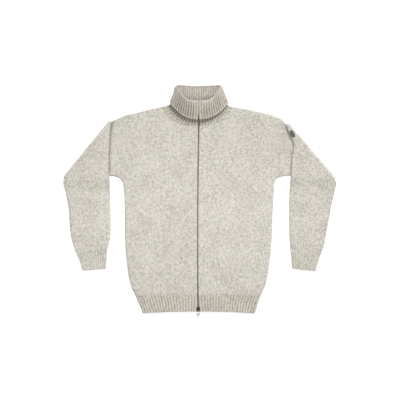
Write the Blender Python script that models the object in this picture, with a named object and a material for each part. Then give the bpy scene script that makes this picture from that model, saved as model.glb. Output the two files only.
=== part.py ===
"""Chunky wool zip cardigan with a turned-down roll collar, laid flat, sleeves folded over.

Metres, +Z up.  The garment lies face up on z = 0 with its neck towards +Y and is centred on
the origin.  Left and right are the wearer's, so the left front is at +X.  Sizes and tables
are in millimetres and are scaled where a mesh is made.
"""
import math
from collections import namedtuple

import bpy
import bmesh
import numpy
from mathutils import Vector
from mathutils.bvhtree import BVHTree
from mathutils.geometry import delaunay_2d_cdt

MM = 0.001

# Cloth
WALL = 3.5                      # thickness of the knitted cloth
SEAM = 0.3                      # gap between two sewn pieces
LAY_HEIGHT = 9.5                # front and back laid on each other, or a flattened sleeve
MIDDLE = LAY_HEIGHT / 2
EDGE_DEPTH = 9.0                # width of the rounded strip along a side
EDGE_ANGLES = (35, 65, 90)      # where the rounded strip has its points, in degrees
PANEL_SPACING = 40.0            # mesh of the front and back panels
SHOULDER_BOW = 1.2              # the shoulder line rises this much above a straight line

# Ribs
RIB_PITCH = 9.1
RIB_RISE = 1.2
RIB_POINTS = ((0.0, 0.0), (0.32, 1.0), (0.68, 1.0))     # share of the pitch, share of the rise

# Hem and zip
HEM_TOP = -325.5
HEM_BOTTOM = -390.0             # at the zip; the corners hang a little lower
HEM_CORNER_DROP = 6.5
HEM_ROWS = (0.0, 0.5, 0.75, 1.0)
ZIP_GAP = 2.2                   # half the gap between the front edges
ZIP_GAP_OPEN = 6.2              # half the gap at the hem, round the slider
ZIP_OPENS_AT = -362.0
ZIP_OPEN_Y = -385.0             # full opening, beside the slider
TAPE_WIDTH = 12.0
TAPE_THICKNESS = 0.9
TAPE_GAP = 0.3                  # half the gap between the two tapes
TAPE_GAP_OPEN = 2.4
CHAIN_WIDTH = 3.6
CHAIN_THICKNESS = 2.2

# Colours (linear), taken by eye from the cloth, the zip and its metal
WOOL = (0.62, 0.58, 0.51)
TAPE_COLOUR = (0.11, 0.09, 0.075)
DARK_METAL = (0.08, 0.075, 0.07)
PALE_METAL = (0.62, 0.62, 0.60)
PATCH_COLOUR = (0.10, 0.10, 0.105)

RIGHT, LEFT = -1, 1
SIDE_NAMES = {RIGHT: "right", LEFT: "left"}

# Outline of the body below the arms, from the hem's corners up to the underarms
SideRow = namedtuple("SideRow", "y right_x left_x")
SIDE_ROWS = [
    SideRow(-395, -200.5, 191.5),
    SideRow(-385, -203.5, 196.0),
    SideRow(-364, -212.5, 201.5),
    SideRow(-343, -221.0, 209.5),
    SideRow(-322, -231.5, 217.5),
    SideRow(-300, -241.0, 227.5),
    SideRow(-260, -250.5, 237.5),
    SideRow(-220, -255.5, 243.0),
    SideRow(-175, -260.0, 248.0),
    SideRow(-130, -262.5, 251.5),
    SideRow(-50, -262.5, 254.0),
    SideRow(0, -263.5, 257.0),
    SideRow(35, -266.0, 259.0),
    SideRow(61, -269.5, 259.5),
]

# Where the zip runs, from the hem to the collar
ZipRow = namedtuple("ZipRow", "y x")
ZIP_ROWS = [ZipRow(-400, -5.5), ZipRow(-330, -7.5), ZipRow(-100, -8.5), ZipRow(60, -7.5),
            ZipRow(200, -5.5), ZipRow(345, -4.0)]

# Sections of each sleeve.  over is the edge along the top of the arm, under the edge along
# the underarm.  The stub runs from the armhole to the fold, the lower part from the fold on.
Section = namedtuple("Section", "over_x over_y under_x under_y")
STUB = {
    RIGHT: [Section(-224.0, 304.0, -269.5, 61), Section(-244, 300.5, -283, 77.5),
            Section(-266, 293.5, -316, 84.5), Section(-288, 284.5, -375, 82)],
    LEFT: [Section(217.0, 305, 259.5, 61), Section(238, 300.5, 271, 76.5),
           Section(260, 293, 305, 84), Section(284, 282.5, 368, 82)],
}
FOLD_OUTLINE = {
    RIGHT: Section(-316.5, 279.5, -479.5, 80),
    LEFT: Section(309.5, 269.5, 476.5, 76),
}
LOWER = {
    RIGHT: [Section(-310.5, 256, -474.5, 64), Section(-313.5, 226, -473.5, 48),
            Section(-314.5, 186, -471.0, 33), Section(-315.5, 140, -467.5, 16),
            Section(-315.5, 92, -463.5, -3), Section(-314.0, 40, -460.0, -24),
            Section(-312.5, -24, -457.5, -50), Section(-312.0, -84, -455.0, -90),
            Section(-313.5, -130, -449.0, -136), Section(-324.5, -176, -435.5, -180)],
    LEFT: [Section(306, 246, 476.5, 62), Section(320, 218, 475.0, 46),
           Section(327, 194, 471.5, 30), Section(320.5, 146, 466.5, 10),
           Section(317.5, 92, 461.5, -8), Section(313.5, 40, 457.5, -30),
           Section(311.5, -24, 453.0, -56), Section(311.5, -76, 447.0, -88),
           Section(312.5, -120, 440.5, -124), Section(314.5, -156, 433.5, -160)],
}
CUFF = {
    RIGHT: [Section(-324.5, -176, -435.5, -180), Section(-326.5, -208, -421.0, -213),
            Section(-329.5, -240.5, -411.0, -247)],
    LEFT: [Section(314.5, -156, 433.5, -160), Section(319.0, -200, 416.5, -206),
           Section(322.0, -240, 404.5, -249.5)],
}
FOLD_CLEARANCE = 0.5            # between the stub and the sleeve that lies on it
FOLD_RADIUS = (LAY_HEIGHT + FOLD_CLEARANCE) / 2
FOLD_STEPS = 6
STACK = LAY_HEIGHT + FOLD_CLEARANCE
STUB_LOW_EDGE = 82.0            # past here the folded-over sleeve comes down to the ground
SETTLE_RUN = 30.0
CUFF_EDGE_DEPTH = 6.0

# Rings of the collar, along the middle of its cloth, from the neck seam up the standing
# layer.  The side is where the ring turns from front to back; z_front and z_back are heights.
# A low power keeps the front and the back of a ring flat and turns it sharply at the sides;
# bend and dip shape the front in the plan, from the sides down to the zip.
CollarRow = namedtuple(
    "CollarRow", "centre_x half_width side_y front_y back_y z_front z_back power bend dip")
STAND_ROWS = [
    CollarRow(-9.0, 120.5, 326, 258.5, 325, 7.9, 2.2, 0.1, 2.2, 0.55),
    CollarRow(-4.0, 96.5, 334, 278.0, 339, 16.0, 5.0, 0.35, 2.3, 0.95),
    CollarRow(-4.5, 90.0, 346, 293.0, 353, 22.5, 6.2, 0.45, 2.7, 1.3),
    CollarRow(-3.5, 82.5, 369, 318.0, 378, 29.0, 6.4, 0.45, 3.5, 2.0),
    CollarRow(-4.5, 78.0, 391, 341.5, 399, 34.3, 6.3, 0.45, 4.5, 2.8),
]
TURNED_ROWS = [
    CollarRow(-4.5, 82.5, 391, 341.5, 399, 38.8, 1.8, 0.45, 4.5, 2.8),
    CollarRow(-3.3, 87.2, 373, 322.0, 380, 36.4, 1.8, 0.45, 3.6, 2.1),
    CollarRow(-3.8, 95.2, 354, 302.0, 360, 32.0, 1.8, 0.45, 3.0, 1.5),
    CollarRow(-2.8, 101.0, 336, 280.5, 340, 26.5, 1.8, 0.45, 2.3, 1.0),
]
COLLAR_RIBS = 48
COLLAR_ROLL_ANGLES = (60, 120)
COLLAR_PLAN_POWER = 0.9         # below 1 the ring is fuller at its sides than an ellipse
NECK_CLEARANCE = 1.3            # between the neck edges of the panels and the collar's foot
COLLAR_BACK_CURVE = 0.5         # the back runs straight across and turns at its ends
COLLAR_BACK_DIP = 4.5           # the back edge sags this much between its ends
STAND_GAP = 2.2                 # half the gap at the zip
TURNED_GAPS = (0.15, 0.15, 0.3, 1.7)
COLLAR_PLAIN_EDGE = 14.0        # no ribs where the standing layer lies on the zip tape
RING_LENGTH = 4.4               # length of a ring as a multiple of its half width
FOOT_RIB_SHARE = 0.3            # the ribs start this high at the neck seam

# Soft creases of the fronts: centre, length, width, height, angle from +X in degrees
Crease = namedtuple("Crease", "x y length width height angle")
CREASES = [
    Crease(-225, 40, 90, 26, 1.5, 35),
    Crease(205, 30, 100, 28, 1.4, 140),
    Crease(-150, 235, 110, 36, 1.2, 20),
    Crease(150, 215, 120, 38, 1.3, 155),
    Crease(45, -300, 60, 16, 1.0, 88),
    Crease(-120, -250, 120, 34, 0.9, 80),
    Crease(120, -230, 140, 36, 0.9, 96),
]

# Zip slider: the right half of its outline as (across, y), narrow end first
SLIDER_TOP_Y, SLIDER_LOW_Y = -374.0, -391.0
SLIDER_OUTLINE = [(1.2, SLIDER_TOP_Y), (2.2, -374.6), (3.2, -376.6), (4.4, -381.0), (5.5, -387.0),
                  (5.4, -390.0), (4.0, SLIDER_LOW_Y)]
TAPE_END_Y = -387.7
SLIDER_FLOOR = (3.8, 4.5)       # lower and upper face of the plate under the tapes
SLIDER_ROOF = (8.9, 10.1)
POST_OUTLINE = [(1.2, -382.0), (1.6, -386.0)]
JOINED = 0.3                    # how deep the post and the bridge sink into the plates

# Bridge over the slider's roof, seen from the side: y and height above the roof
BRIDGE_SIDE = [(-378.4, -0.4), (-378.2, 1.2), (-379.6, 2.8), (-382.4, 3.7), (-385.6, 3.5),
               (-387.4, 2.0), (-387.8, -0.4), (-386.7, -0.4), (-386.4, 1.6), (-385.2, 2.5),
               (-382.4, 2.6), (-380.2, 1.9), (-379.3, 0.8), (-379.3, -0.4)]
BRIDGE_HALF_WIDTH = 0.6

# Pull: distance along it from the hinge, and half its width
PullRow = namedtuple("PullRow", "along half_width")
PULL_OUTLINE = [PullRow(-0.7, 0.0), PullRow(-0.7, 2.2), PullRow(0.3, 3.3), PullRow(4.0, 4.1),
                PullRow(8.0, 5.4), PullRow(11.0, 6.5), PullRow(12.6, 6.6), PullRow(16.5, 5.4),
                PullRow(20.5, 3.9), PullRow(21.7, 2.7), PullRow(21.8, 0.0)]
PULL_HOLE = [PullRow(0.7, 0.0), PullRow(0.7, 1.3), PullRow(1.2, 2.1), PullRow(4.0, 2.9),
             PullRow(7.5, 4.0), PullRow(9.6, 4.8), PullRow(10.3, 4.2), PullRow(10.4, 0.0)]
PULL_PIVOT_Y, PULL_PIVOT_Z = -385.0, 11.5
PULL_THICKNESS = 1.4
PULL_REST_TILT = 5.5            # it rests on the end of the slider, pointing down by this
PULL_SEGMENTS = 36

# Plain patch sewn on the left sleeve
PATCH_MIDDLE = (322.6, 230.6)
PATCH_SIZE = (13.5, 25.5)
PATCH_TURN = 26.0
PATCH_NARROWING = 0.3           # its ends are narrower than its middle by this share
PATCH_THICKNESS = 0.9
PATCH_STEPS = (8, 8)


# ------------------------------------------------------------------ curves in the plan
def spline(rows, steps):
    """A smooth curve through the rows, with `steps` pieces between each two."""
    rows = [tuple(float(value) for value in row) for row in rows]
    padded = [rows[0]] + rows + [rows[-1]]
    curve = []
    for before, start, end, after in zip(padded, padded[1:], padded[2:], padded[3:]):
        for step in range(steps):
            t = step / steps
            curve.append(tuple(
                0.5 * (2 * b + (c - a) * t + (2 * a - 5 * b + 4 * c - d) * t * t
                       + (3 * b - a - 3 * c + d) * t ** 3)
                for a, b, c, d in zip(before, start, end, after)))
    curve.append(rows[-1])
    return curve


SIDE_CURVE = numpy.array(spline(SIDE_ROWS, 3))
ZIP_CURVE = numpy.array(spline(ZIP_ROWS, 3))


def side_x(side, y):
    column = 1 if side == RIGHT else 2
    return float(numpy.interp(y, SIDE_CURVE[:, 0], SIDE_CURVE[:, column]))


def zip_x(y):
    return float(numpy.interp(y, ZIP_CURVE[:, 0], ZIP_CURVE[:, 1]))


def smooth_step(value):
    value = min(max(value, 0.0), 1.0)
    return value * value * (3 - 2 * value)


def zip_opening(y):
    """0 where the zip is closed, 1 at the hem where the front edges part."""
    return smooth_step((ZIP_OPENS_AT - y) / (ZIP_OPENS_AT - ZIP_OPEN_Y))


def front_edge(side, y):
    return zip_x(y) + side * (ZIP_GAP + (ZIP_GAP_OPEN - ZIP_GAP) * zip_opening(y))


def arc_positions(line):
    steps = [math.dist(a, b) for a, b in zip(line, line[1:])]
    return [0.0] + list(numpy.cumsum(steps))


def point_at(line, positions, distance):
    return (float(numpy.interp(distance, positions, [point[0] for point in line])),
            float(numpy.interp(distance, positions, [point[1] for point in line])))


# ------------------------------------------------------------------ how thick the cloth lies
def edge_offsets(depth):
    return [depth * (1 - math.cos(math.radians(angle))) for angle in EDGE_ANGLES]


def fullness(distance, depth):
    """Share of the full half height at a distance in from a rounded edge."""
    reach = min(distance / depth, 1.0)
    return math.sqrt(max(0.0, 1 - (1 - reach) ** 2))


def inner_shift(distance, depth):
    """How much further in the inside of the wall lies than its outside."""
    return WALL * (1 - min(distance / depth, 1.0))


def outer_height(face, distance):
    return MIDDLE + face * (SEAM / 2 + (MIDDLE - SEAM / 2) * fullness(distance, EDGE_DEPTH))


def inner_height(face, distance):
    return MIDDLE + face * (SEAM / 2 + (MIDDLE - WALL - SEAM / 2) * fullness(distance, EDGE_DEPTH))


def crease_height(x, y):
    height = 0.0
    for crease in CREASES:
        angle = math.radians(crease.angle)
        along = (x - crease.x) * math.cos(angle) + (y - crease.y) * math.sin(angle)
        across = (y - crease.y) * math.cos(angle) - (x - crease.x) * math.sin(angle)
        spread = (2 * along / crease.length) ** 2 + (2 * across / crease.width) ** 2
        height += crease.height * math.exp(-spread)
    return height


# ------------------------------------------------------------------ meshes and materials
def make_material(name, colour, roughness, metallic):
    material = bpy.data.materials.new(name)
    material.use_nodes = True
    shader = material.node_tree.nodes["Principled BSDF"]
    shader.inputs["Base Color"].default_value = (*colour, 1.0)
    shader.inputs["Roughness"].default_value = roughness
    shader.inputs["Metallic"].default_value = metallic
    material.diffuse_color = (*colour, 1.0)
    return material


def make_solid(name, points, faces, colour=WOOL, roughness=0.9, metallic=0.0, pivot=(0, 0, 0)):
    """One closed body from points in millimetres, with its object's origin at the pivot."""
    local = [[(value - origin) * MM for value, origin in zip(point, pivot)] for point in points]
    mesh = bpy.data.meshes.new(name)
    mesh.from_pydata(local, [], faces)
    shell = bmesh.new()
    shell.from_mesh(mesh)
    bmesh.ops.recalc_face_normals(shell, faces=shell.faces)
    if shell.calc_volume(signed=True) < 0:
        bmesh.ops.reverse_faces(shell, faces=shell.faces)
    shell.to_mesh(mesh)
    shell.free()
    mesh.shade_smooth()
    mesh.set_sharp_from_angle(angle=math.radians(50))
    mesh.materials.append(make_material(name, colour, roughness, metallic))
    body = bpy.data.objects.new(name, mesh)
    body.location = [origin * MM for origin in pivot]
    bpy.context.scene.collection.objects.link(body)
    return body


def make_wall(name, outer, inner, closed_round, **finish):
    """A wall between two equal grids of points; its rows may close on themselves."""
    rows, columns = len(outer), len(outer[0])
    points = [point for row in outer for point in row] + [point for row in inner for point in row]
    inside = rows * columns

    def corner(row, column):
        return row * columns + column % columns

    faces = []
    spans = columns if closed_round else columns - 1
    for row in range(rows - 1):
        for column in range(spans):
            a, b = corner(row, column), corner(row, column + 1)
            c, d = corner(row + 1, column + 1), corner(row + 1, column)
            faces += [(a, b, c, d), (inside + d, inside + c, inside + b, inside + a)]
    rim = [(corner(row, column), corner(row, column + 1))
           for row in (0, rows - 1) for column in range(spans)]
    if not closed_round:
        rim += [(corner(row, column), corner(row + 1, column))
                for row in range(rows - 1) for column in (0, columns - 1)]
    faces += [(a, b, inside + b, inside + a) for a, b in rim]
    return make_solid(name, points, faces, **finish)


# ------------------------------------------------------------------ front and back panels
Border = namedtuple("Border", "line rounded")
PlanPoint = namedtuple("PlanPoint", "x y depth inward")


def with_stops(line, at_start, at_end):
    """The line with points where the neighbours' rounded strips meet it."""
    positions = arc_positions(line)
    total = positions[-1]
    stops = []
    if at_start:
        stops += edge_offsets(EDGE_DEPTH)
    if at_end:
        stops += [total - offset for offset in edge_offsets(EDGE_DEPTH)]
    low = EDGE_DEPTH + 1 if at_start else 0.01
    high = total - EDGE_DEPTH - 1 if at_end else total - 0.01
    kept = [position for position in positions if low < position < high]
    return [point_at(line, positions, position) for position in sorted([0.0, total] + stops + kept)]


def inside_loop(point, loop):
    inside = False
    for (ax, ay), (bx, by) in zip(loop, loop[1:] + loop[:1]):
        if (ay > point[1]) != (by > point[1]):
            if point[0] < ax + (point[1] - ay) * (bx - ax) / (by - ay):
                inside = not inside
    return inside


def loop_distance(point, loop):
    corners = numpy.array(loop)
    ends = numpy.roll(corners, -1, axis=0)
    runs = ends - corners
    shares = ((numpy.array(point) - corners) * runs).sum(axis=1) / (runs ** 2).sum(axis=1)
    nearest = corners + runs * numpy.clip(shares, 0, 1)[:, None]
    return float(numpy.sqrt(((nearest - numpy.array(point)) ** 2).sum(axis=1)).min())


def inward_normals(line, turn):
    """Unit vectors into the panel at each point; turn is +1 for an anticlockwise loop."""
    normals = []
    for index in range(len(line)):
        before, after = line[max(index - 1, 0)], line[min(index + 1, len(line) - 1)]
        run = Vector((after[0] - before[0], after[1] - before[1])).normalized()
        normals.append((-run.y * turn, run.x * turn))
    return normals


def plan_of_panel(borders, spacing):
    """Points of a panel's plan, the triangles between them and the loop round them."""
    count = len(borders)
    lines = []
    for index, border in enumerate(borders):
        if border.rounded:
            lines.append(border.line)
        else:
            lines.append(with_stops(border.line, borders[index - 1].rounded,
                                    borders[(index + 1) % count].rounded))
    loop = [point for line in lines for point in line[:-1]]
    turn = 1 if sum(a[0] * b[1] - b[0] * a[1] for a, b in zip(loop, loop[1:] + loop[:1])) > 0 else -1
    plan, numbers = [], {}

    def number(point, depth=EDGE_DEPTH, inward=(0.0, 0.0)):
        key = (round(point[0], 2), round(point[1], 2))
        if key not in numbers:
            numbers[key] = len(plan)
            plan.append(PlanPoint(point[0], point[1], depth, inward))
        return numbers[key]

    offsets = edge_offsets(EDGE_DEPTH)
    for index, border in enumerate(borders):
        if border.rounded:
            continue
        line = lines[index]
        ends = []
        if borders[index - 1].rounded:
            ends.append(line)
        if borders[(index + 1) % count].rounded:
            ends.append(line[::-1])
        for end in ends:
            run = Vector((end[1][0] - end[0][0], end[1][1] - end[0][1])).normalized()
            for depth, point in zip([0.0] + offsets, end):
                number(point, depth, (run.x, run.y))
    edges = []
    for index, border in enumerate(borders):
        line = lines[index]
        if not border.rounded:
            continue
        normals = inward_normals(line, turn)
        for point, normal in zip(line, normals):
            number(point, 0.0, normal)
        before, after = lines[index - 1][::-1], lines[(index + 1) % count]
        for step, depth in enumerate(offsets):
            strip = [number(before[step + 1])]
            strip += [number((point[0] + normal[0] * depth, point[1] + normal[1] * depth), depth, normal)
                      for point, normal in zip(line[1:-1], normals[1:-1])]
            strip.append(number(after[step + 1]))
            edges += list(zip(strip, strip[1:]))
    ring = [number(point) for point in loop]
    edges += list(zip(ring, ring[1:] + ring[:1]))
    xs, ys = [point[0] for point in loop], [point[1] for point in loop]
    for row in range(int((max(ys) - min(ys)) / spacing) + 1):
        for column in range(int((max(xs) - min(xs)) / spacing) + 1):
            point = (min(xs) + (column + 0.5) * spacing, min(ys) + (row + 0.5) * spacing)
            if inside_loop(point, loop) and loop_distance(point, loop) > EDGE_DEPTH + spacing * 0.3:
                number(point)
    flat = [Vector((point.x, point.y)) for point in plan]
    result = delaunay_2d_cdt(flat, edges, [], 1, 1e-4)
    origins = [source[0] for source in result[3]]
    triangles = [tuple(origins[corner] for corner in face) for face in result[2]]
    return plan, triangles, ring


def make_panel(name, borders, face, spacing=PANEL_SPACING):
    plan, triangles, ring = plan_of_panel(borders, spacing)
    outer, inner = [], []
    for point in plan:
        lift = 0.0
        if face > 0 and point.depth >= EDGE_DEPTH:
            lift = crease_height(point.x, point.y)
        shift = inner_shift(point.depth, EDGE_DEPTH)
        outer.append((point.x, point.y, outer_height(face, point.depth) + lift))
        inner.append((point.x + point.inward[0] * shift, point.y + point.inward[1] * shift,
                      inner_height(face, point.depth) + lift))
    count = len(plan)
    faces = list(triangles)
    faces += [tuple(count + corner for corner in reversed(triangle)) for triangle in triangles]
    faces += [(a, b, count + b, count + a) for a, b in zip(ring, ring[1:] + ring[:1])]
    return make_solid(name, outer + inner, faces)


# ------------------------------------------------------------------ collar
def collar_point(row, turn):
    """Middle of the cloth on a ring and its outward direction; turn 0 is the front, 90 the left."""
    sine, cosine = math.sin(math.radians(turn)), math.cos(math.radians(turn))
    middle_z = (row.z_front + row.z_back) / 2
    half_height = (row.z_front - row.z_back) / 2
    across = math.copysign(abs(sine) ** COLLAR_PLAN_POWER, sine)
    up = math.copysign(abs(cosine) ** row.power, cosine)
    if cosine > 0:
        reach = (row.front_y - row.side_y) * max(0.0, 1 - abs(across) ** row.bend) ** row.dip
    else:
        behind = -cosine
        reach = (row.back_y - row.side_y) * behind ** COLLAR_BACK_CURVE - COLLAR_BACK_DIP * behind ** 4
    point = Vector((row.centre_x + row.half_width * across,
                    row.side_y + reach,
                    middle_z + half_height * up))
    outward = Vector((across / row.half_width, 0.0, up / half_height)).normalized()
    return point, outward


def neck_line(side, from_turn, to_turn, steps):
    """Plan of the neck seam on the panels, just clear of the collar's foot."""
    line = []
    for step in range(steps + 1):
        turn = from_turn + (to_turn - from_turn) * step / steps
        point, outward = collar_point(STAND_ROWS[0], side * turn)
        past = Vector((math.sin(math.radians(side * turn)), -abs(math.cos(math.radians(turn)))))
        reach = NECK_CLEARANCE + abs(outward.x) * WALL / 2
        line.append((point.x + past.x * reach, point.y + past.y * reach))
    return line


def ring_of_turns(row, gap, shares):
    """Turns round a ring at shares of its length, from one side of the zip to the other."""
    start = math.degrees(gap / row.half_width) + 0.02
    turns = numpy.linspace(start, 360 - start, 361)
    points = [collar_point(row, turn)[0] for turn in turns]
    lengths = numpy.array(arc_positions([tuple(point) for point in points]))
    return numpy.interp(shares, lengths / lengths[-1], turns)


def collar_ribs():
    """Share of the way round and share of the rise for each column of the collar."""
    columns = [((rib + place) / COLLAR_RIBS, rise)
               for rib in range(COLLAR_RIBS) for place, rise in RIB_POINTS]
    return columns + [(1.0, 0.0)]


def collar_ring(row, gap, shares):
    """Points and outward directions of a ring, its front drawn over to the zip."""
    ring = []
    for turn in ring_of_turns(row, gap, shares):
        point, outward = collar_point(row, turn)
        nearness = max(0.0, math.cos(math.radians(turn))) ** 6
        point.x += (zip_x(row.front_y) - row.centre_x) * nearness
        ring.append((point, outward))
    return ring


def make_collar():
    columns = collar_ribs()
    shares = [share for share, _ in columns]
    rises = [rise for _, rise in columns]
    visible, hidden = [], []
    stand = [collar_ring(row, STAND_GAP, shares) for row in STAND_ROWS]
    turned = [collar_ring(row, gap, shares) for row, gap in zip(TURNED_ROWS, TURNED_GAPS)]
    for number, ring in enumerate(stand):
        row_in, row_out = [], []
        for (point, outward), rise, share in zip(ring, rises, shares):
            from_zip = min(share, 1 - share) * RING_LENGTH * STAND_ROWS[number].half_width
            plain = from_zip < COLLAR_PLAIN_EDGE
            inside_rise = 0.0 if plain or number == 0 else rise * RIB_RISE
            outside_rise = rise * RIB_RISE if number < 2 else 0.0
            if number == 0:
                outside_rise *= FOOT_RIB_SHARE
            row_in.append(point - outward * (WALL / 2 + inside_rise))
            row_out.append(point + outward * (WALL / 2 + outside_rise))
        visible.append(row_in)
        hidden.append(row_out)
    for angle in COLLAR_ROLL_ANGLES:
        sine, cosine = math.sin(math.radians(angle)), math.cos(math.radians(angle))
        row_over, row_under = [], []
        for (low, outward), (high, _), rise in zip(stand[-1], turned[0], rises):
            centre, radius = (low + high) / 2, (high - low).length / 2
            out = Vector((-outward.x * cosine, sine, -outward.z * cosine)).normalized()
            row_over.append(centre + out * (radius + WALL / 2 + rise * RIB_RISE))
            row_under.append(centre + out * max(radius - WALL / 2, 0.25))
        visible.append(row_over)
        hidden.append(row_under)
    for ring in turned:
        visible.append([point + outward * (WALL / 2 + (rise * RIB_RISE if point.z > 3 else 0.0))
                        for (point, outward), rise in zip(ring, rises)])
        hidden.append([point - outward * WALL / 2 for point, outward in ring])
    return make_wall("collar", visible, hidden, False)


# ------------------------------------------------------------------ body
def side_line(side, low, high, steps):
    return [(side_x(side, low + (high - low) * step / steps), low + (high - low) * step / steps)
            for step in range(steps + 1)]


def armhole_line(side):
    start = STUB[side][0]
    return [(start.under_x, start.under_y), (start.over_x, start.over_y)]


def split_line(line, pieces):
    (ax, ay), (bx, by) = line[0], line[-1]
    return [(ax + (bx - ax) * step / pieces, ay + (by - ay) * step / pieces)
            for step in range(pieces + 1)]


def shoulder_line(side, neck_end, pieces=4):
    start = STUB[side][0]
    (ax, ay), (bx, by) = (start.over_x, start.over_y), neck_end
    line = []
    for step in range(pieces + 1):
        share = step / pieces
        line.append((ax + (bx - ax) * share, ay + (by - ay) * share + SHOULDER_BOW * math.sin(math.pi * share)))
    return line


def front_borders(side):
    joint = HEM_TOP + SEAM / 2
    neck = neck_line(side, 90, 3, 10)
    neck[-1] = (front_edge(side, neck[-1][1]), neck[-1][1])
    sides = side_line(side, joint, STUB[side][0].under_y, 14)
    zip_line = [(front_edge(side, neck[-1][1] + (joint - neck[-1][1]) * step / 10),
                 neck[-1][1] + (joint - neck[-1][1]) * step / 10) for step in range(11)]
    hem = split_line([zip_line[-1], sides[0]], 5)
    return [Border(hem, False), Border(sides, True), Border(split_line(armhole_line(side), 6), False),
            Border(shoulder_line(side, neck[0]), True), Border(neck, False), Border(zip_line, False)]


def back_borders():
    joint = HEM_TOP + SEAM / 2
    right_side = side_line(RIGHT, joint, STUB[RIGHT][0].under_y, 14)
    left_side = side_line(LEFT, joint, STUB[LEFT][0].under_y, 14)
    right_neck = neck_line(RIGHT, 90, 180, 6)
    left_neck = neck_line(LEFT, 90, 180, 6)
    neck = left_neck[:-1] + right_neck[::-1]
    hem = split_line([right_side[0], left_side[0]], 10)
    return [Border(hem, False), Border(left_side, True),
            Border(split_line(armhole_line(LEFT), 6), False),
            Border(shoulder_line(LEFT, left_neck[0]), True), Border(neck, False),
            Border(shoulder_line(RIGHT, right_neck[0])[::-1], True),
            Border(split_line(armhole_line(RIGHT), 6)[::-1], False), Border(right_side[::-1], True)]


def hem_y(share_across, share_down):
    """Height of a hem row; 0 across is the zip and 1 the side, 0 down the joint."""
    low = HEM_BOTTOM - HEM_CORNER_DROP * share_across ** 2
    return (HEM_TOP - SEAM / 2) + (low - HEM_TOP + SEAM / 2) * share_down


def hem_columns(width):
    """Distance from the front edge and share of the rib's rise, for each column."""
    ribs = max(1, round((width - EDGE_DEPTH) / RIB_PITCH))
    pitch = (width - EDGE_DEPTH) / ribs
    columns = [((rib + place) * pitch, rise) for rib in range(ribs) for place, rise in RIB_POINTS]
    columns += [(width - offset, 0.0) for offset in reversed([0.0] + edge_offsets(EDGE_DEPTH))]
    return columns


def make_front_hem(side):
    outer, inner = [], []
    reference = abs(side_x(side, HEM_BOTTOM) - front_edge(side, HEM_BOTTOM))
    columns = hem_columns(reference)
    for share_down in HEM_ROWS:
        row_out, row_in = [], []
        for distance, rise in columns:
            across = distance / reference
            y = hem_y(across, share_down)
            edge, end = front_edge(side, y), side_x(side, y)
            width = abs(end - edge)
            from_side = reference - distance
            if from_side > EDGE_DEPTH + 0.01:
                from_front = distance * (width - EDGE_DEPTH) / (reference - EDGE_DEPTH)
            else:
                from_front = width - from_side
            lift = crease_height(edge + side * from_front, y) * (1 - share_down * 0.5)
            depth = min(from_side, EDGE_DEPTH)
            if depth < EDGE_DEPTH:
                lift = 0.0
            shift = inner_shift(depth, EDGE_DEPTH)
            height = outer_height(1, depth) - (RIB_RISE - 0.4) * fullness(depth, EDGE_DEPTH)
            row_out.append((edge + side * from_front, y, height + rise * RIB_RISE + lift))
            row_in.append((edge + side * (from_front - shift), y, inner_height(1, depth) + lift))
        outer.append(row_out)
        inner.append(row_in)
    return make_wall(f"hem_front_{SIDE_NAMES[side]}", outer, inner, False)


def make_back_hem():
    offsets = [0.0] + edge_offsets(EDGE_DEPTH)
    outer, inner = [], []
    for share_down in HEM_ROWS:
        row_out, row_in = [], []
        for side in (RIGHT, LEFT):
            places = [(offset, None) for offset in offsets] + [(None, step / 5) for step in range(4, 0, -1)]
            if side == LEFT:
                places = [(None, step / 5) for step in range(0, 5)] + [(offset, None) for offset in offsets[::-1]]
            for offset, share in places:
                depth = EDGE_DEPTH if offset is None else offset
                across = share if offset is None else 1.0
                y = hem_y(across, share_down)
                middle, end = zip_x(HEM_TOP), side_x(side, y)
                if offset is None:
                    x = middle + (end - side * EDGE_DEPTH - middle) * share
                else:
                    x = end - side * offset
                shift = inner_shift(depth, EDGE_DEPTH)
                row_out.append((x, y, outer_height(-1, depth)))
                row_in.append((x - side * shift, y, inner_height(-1, depth)))
        outer.append(row_out)
        inner.append(row_in)
    return make_wall("hem_back", outer, inner, False)


# ------------------------------------------------------------------ sleeves
def tube_profile(length, depth, top, bottom):
    """Points (along, height, depth shift) round a flattened tube, outside and inside.

    top and bottom give the places between the rounded ends as (share, rise).
    """
    outer, inner = [], []

    def put(along, sign, from_edge, rise, inward):
        full = fullness(from_edge, depth)
        outer.append((along, sign * (MIDDLE * full + rise)))
        inner.append((along + inward * inner_shift(from_edge, depth), sign * (MIDDLE - WALL) * full))

    offsets = [0.0] + edge_offsets(depth)
    flat = length - 2 * depth
    for offset in offsets:
        put(offset, 1, offset, 0.0, 1)
    for share, rise in top:
        put(depth + flat * share, 1, depth, rise, 0)
    for offset in offsets[::-1]:
        put(length - offset, 1, offset, 0.0, -1)
    for offset in offsets[1:]:
        put(length - offset, -1, offset, 0.0, -1)
    for share, rise in bottom:
        put(length - depth - flat * share, -1, depth, rise, 0)
    for offset in offsets[:0:-1]:
        put(offset, -1, offset, 0.0, 1)
    return outer, inner


def settle(y):
    """How far the folded-over sleeve has come down to the ground."""
    return STACK * smooth_step((STUB_LOW_EDGE - y) / SETTLE_RUN)


def place_ring(section, profile, centre, up, sinks):
    """Ring of points on a section: profile heights run along `up` from `centre`'s height."""
    over = Vector((section.over_x, section.over_y, 0))
    along = Vector((section.under_x, section.under_y, 0)) - over
    along.normalize()
    ring = []
    for distance, height in profile:
        point = over + along * distance + centre + up * height
        if sinks:
            point.z -= settle(point.y)
        ring.append(point)
    return ring


def section_length(section):
    return math.hypot(section.under_x - section.over_x, section.under_y - section.over_y)


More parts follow.
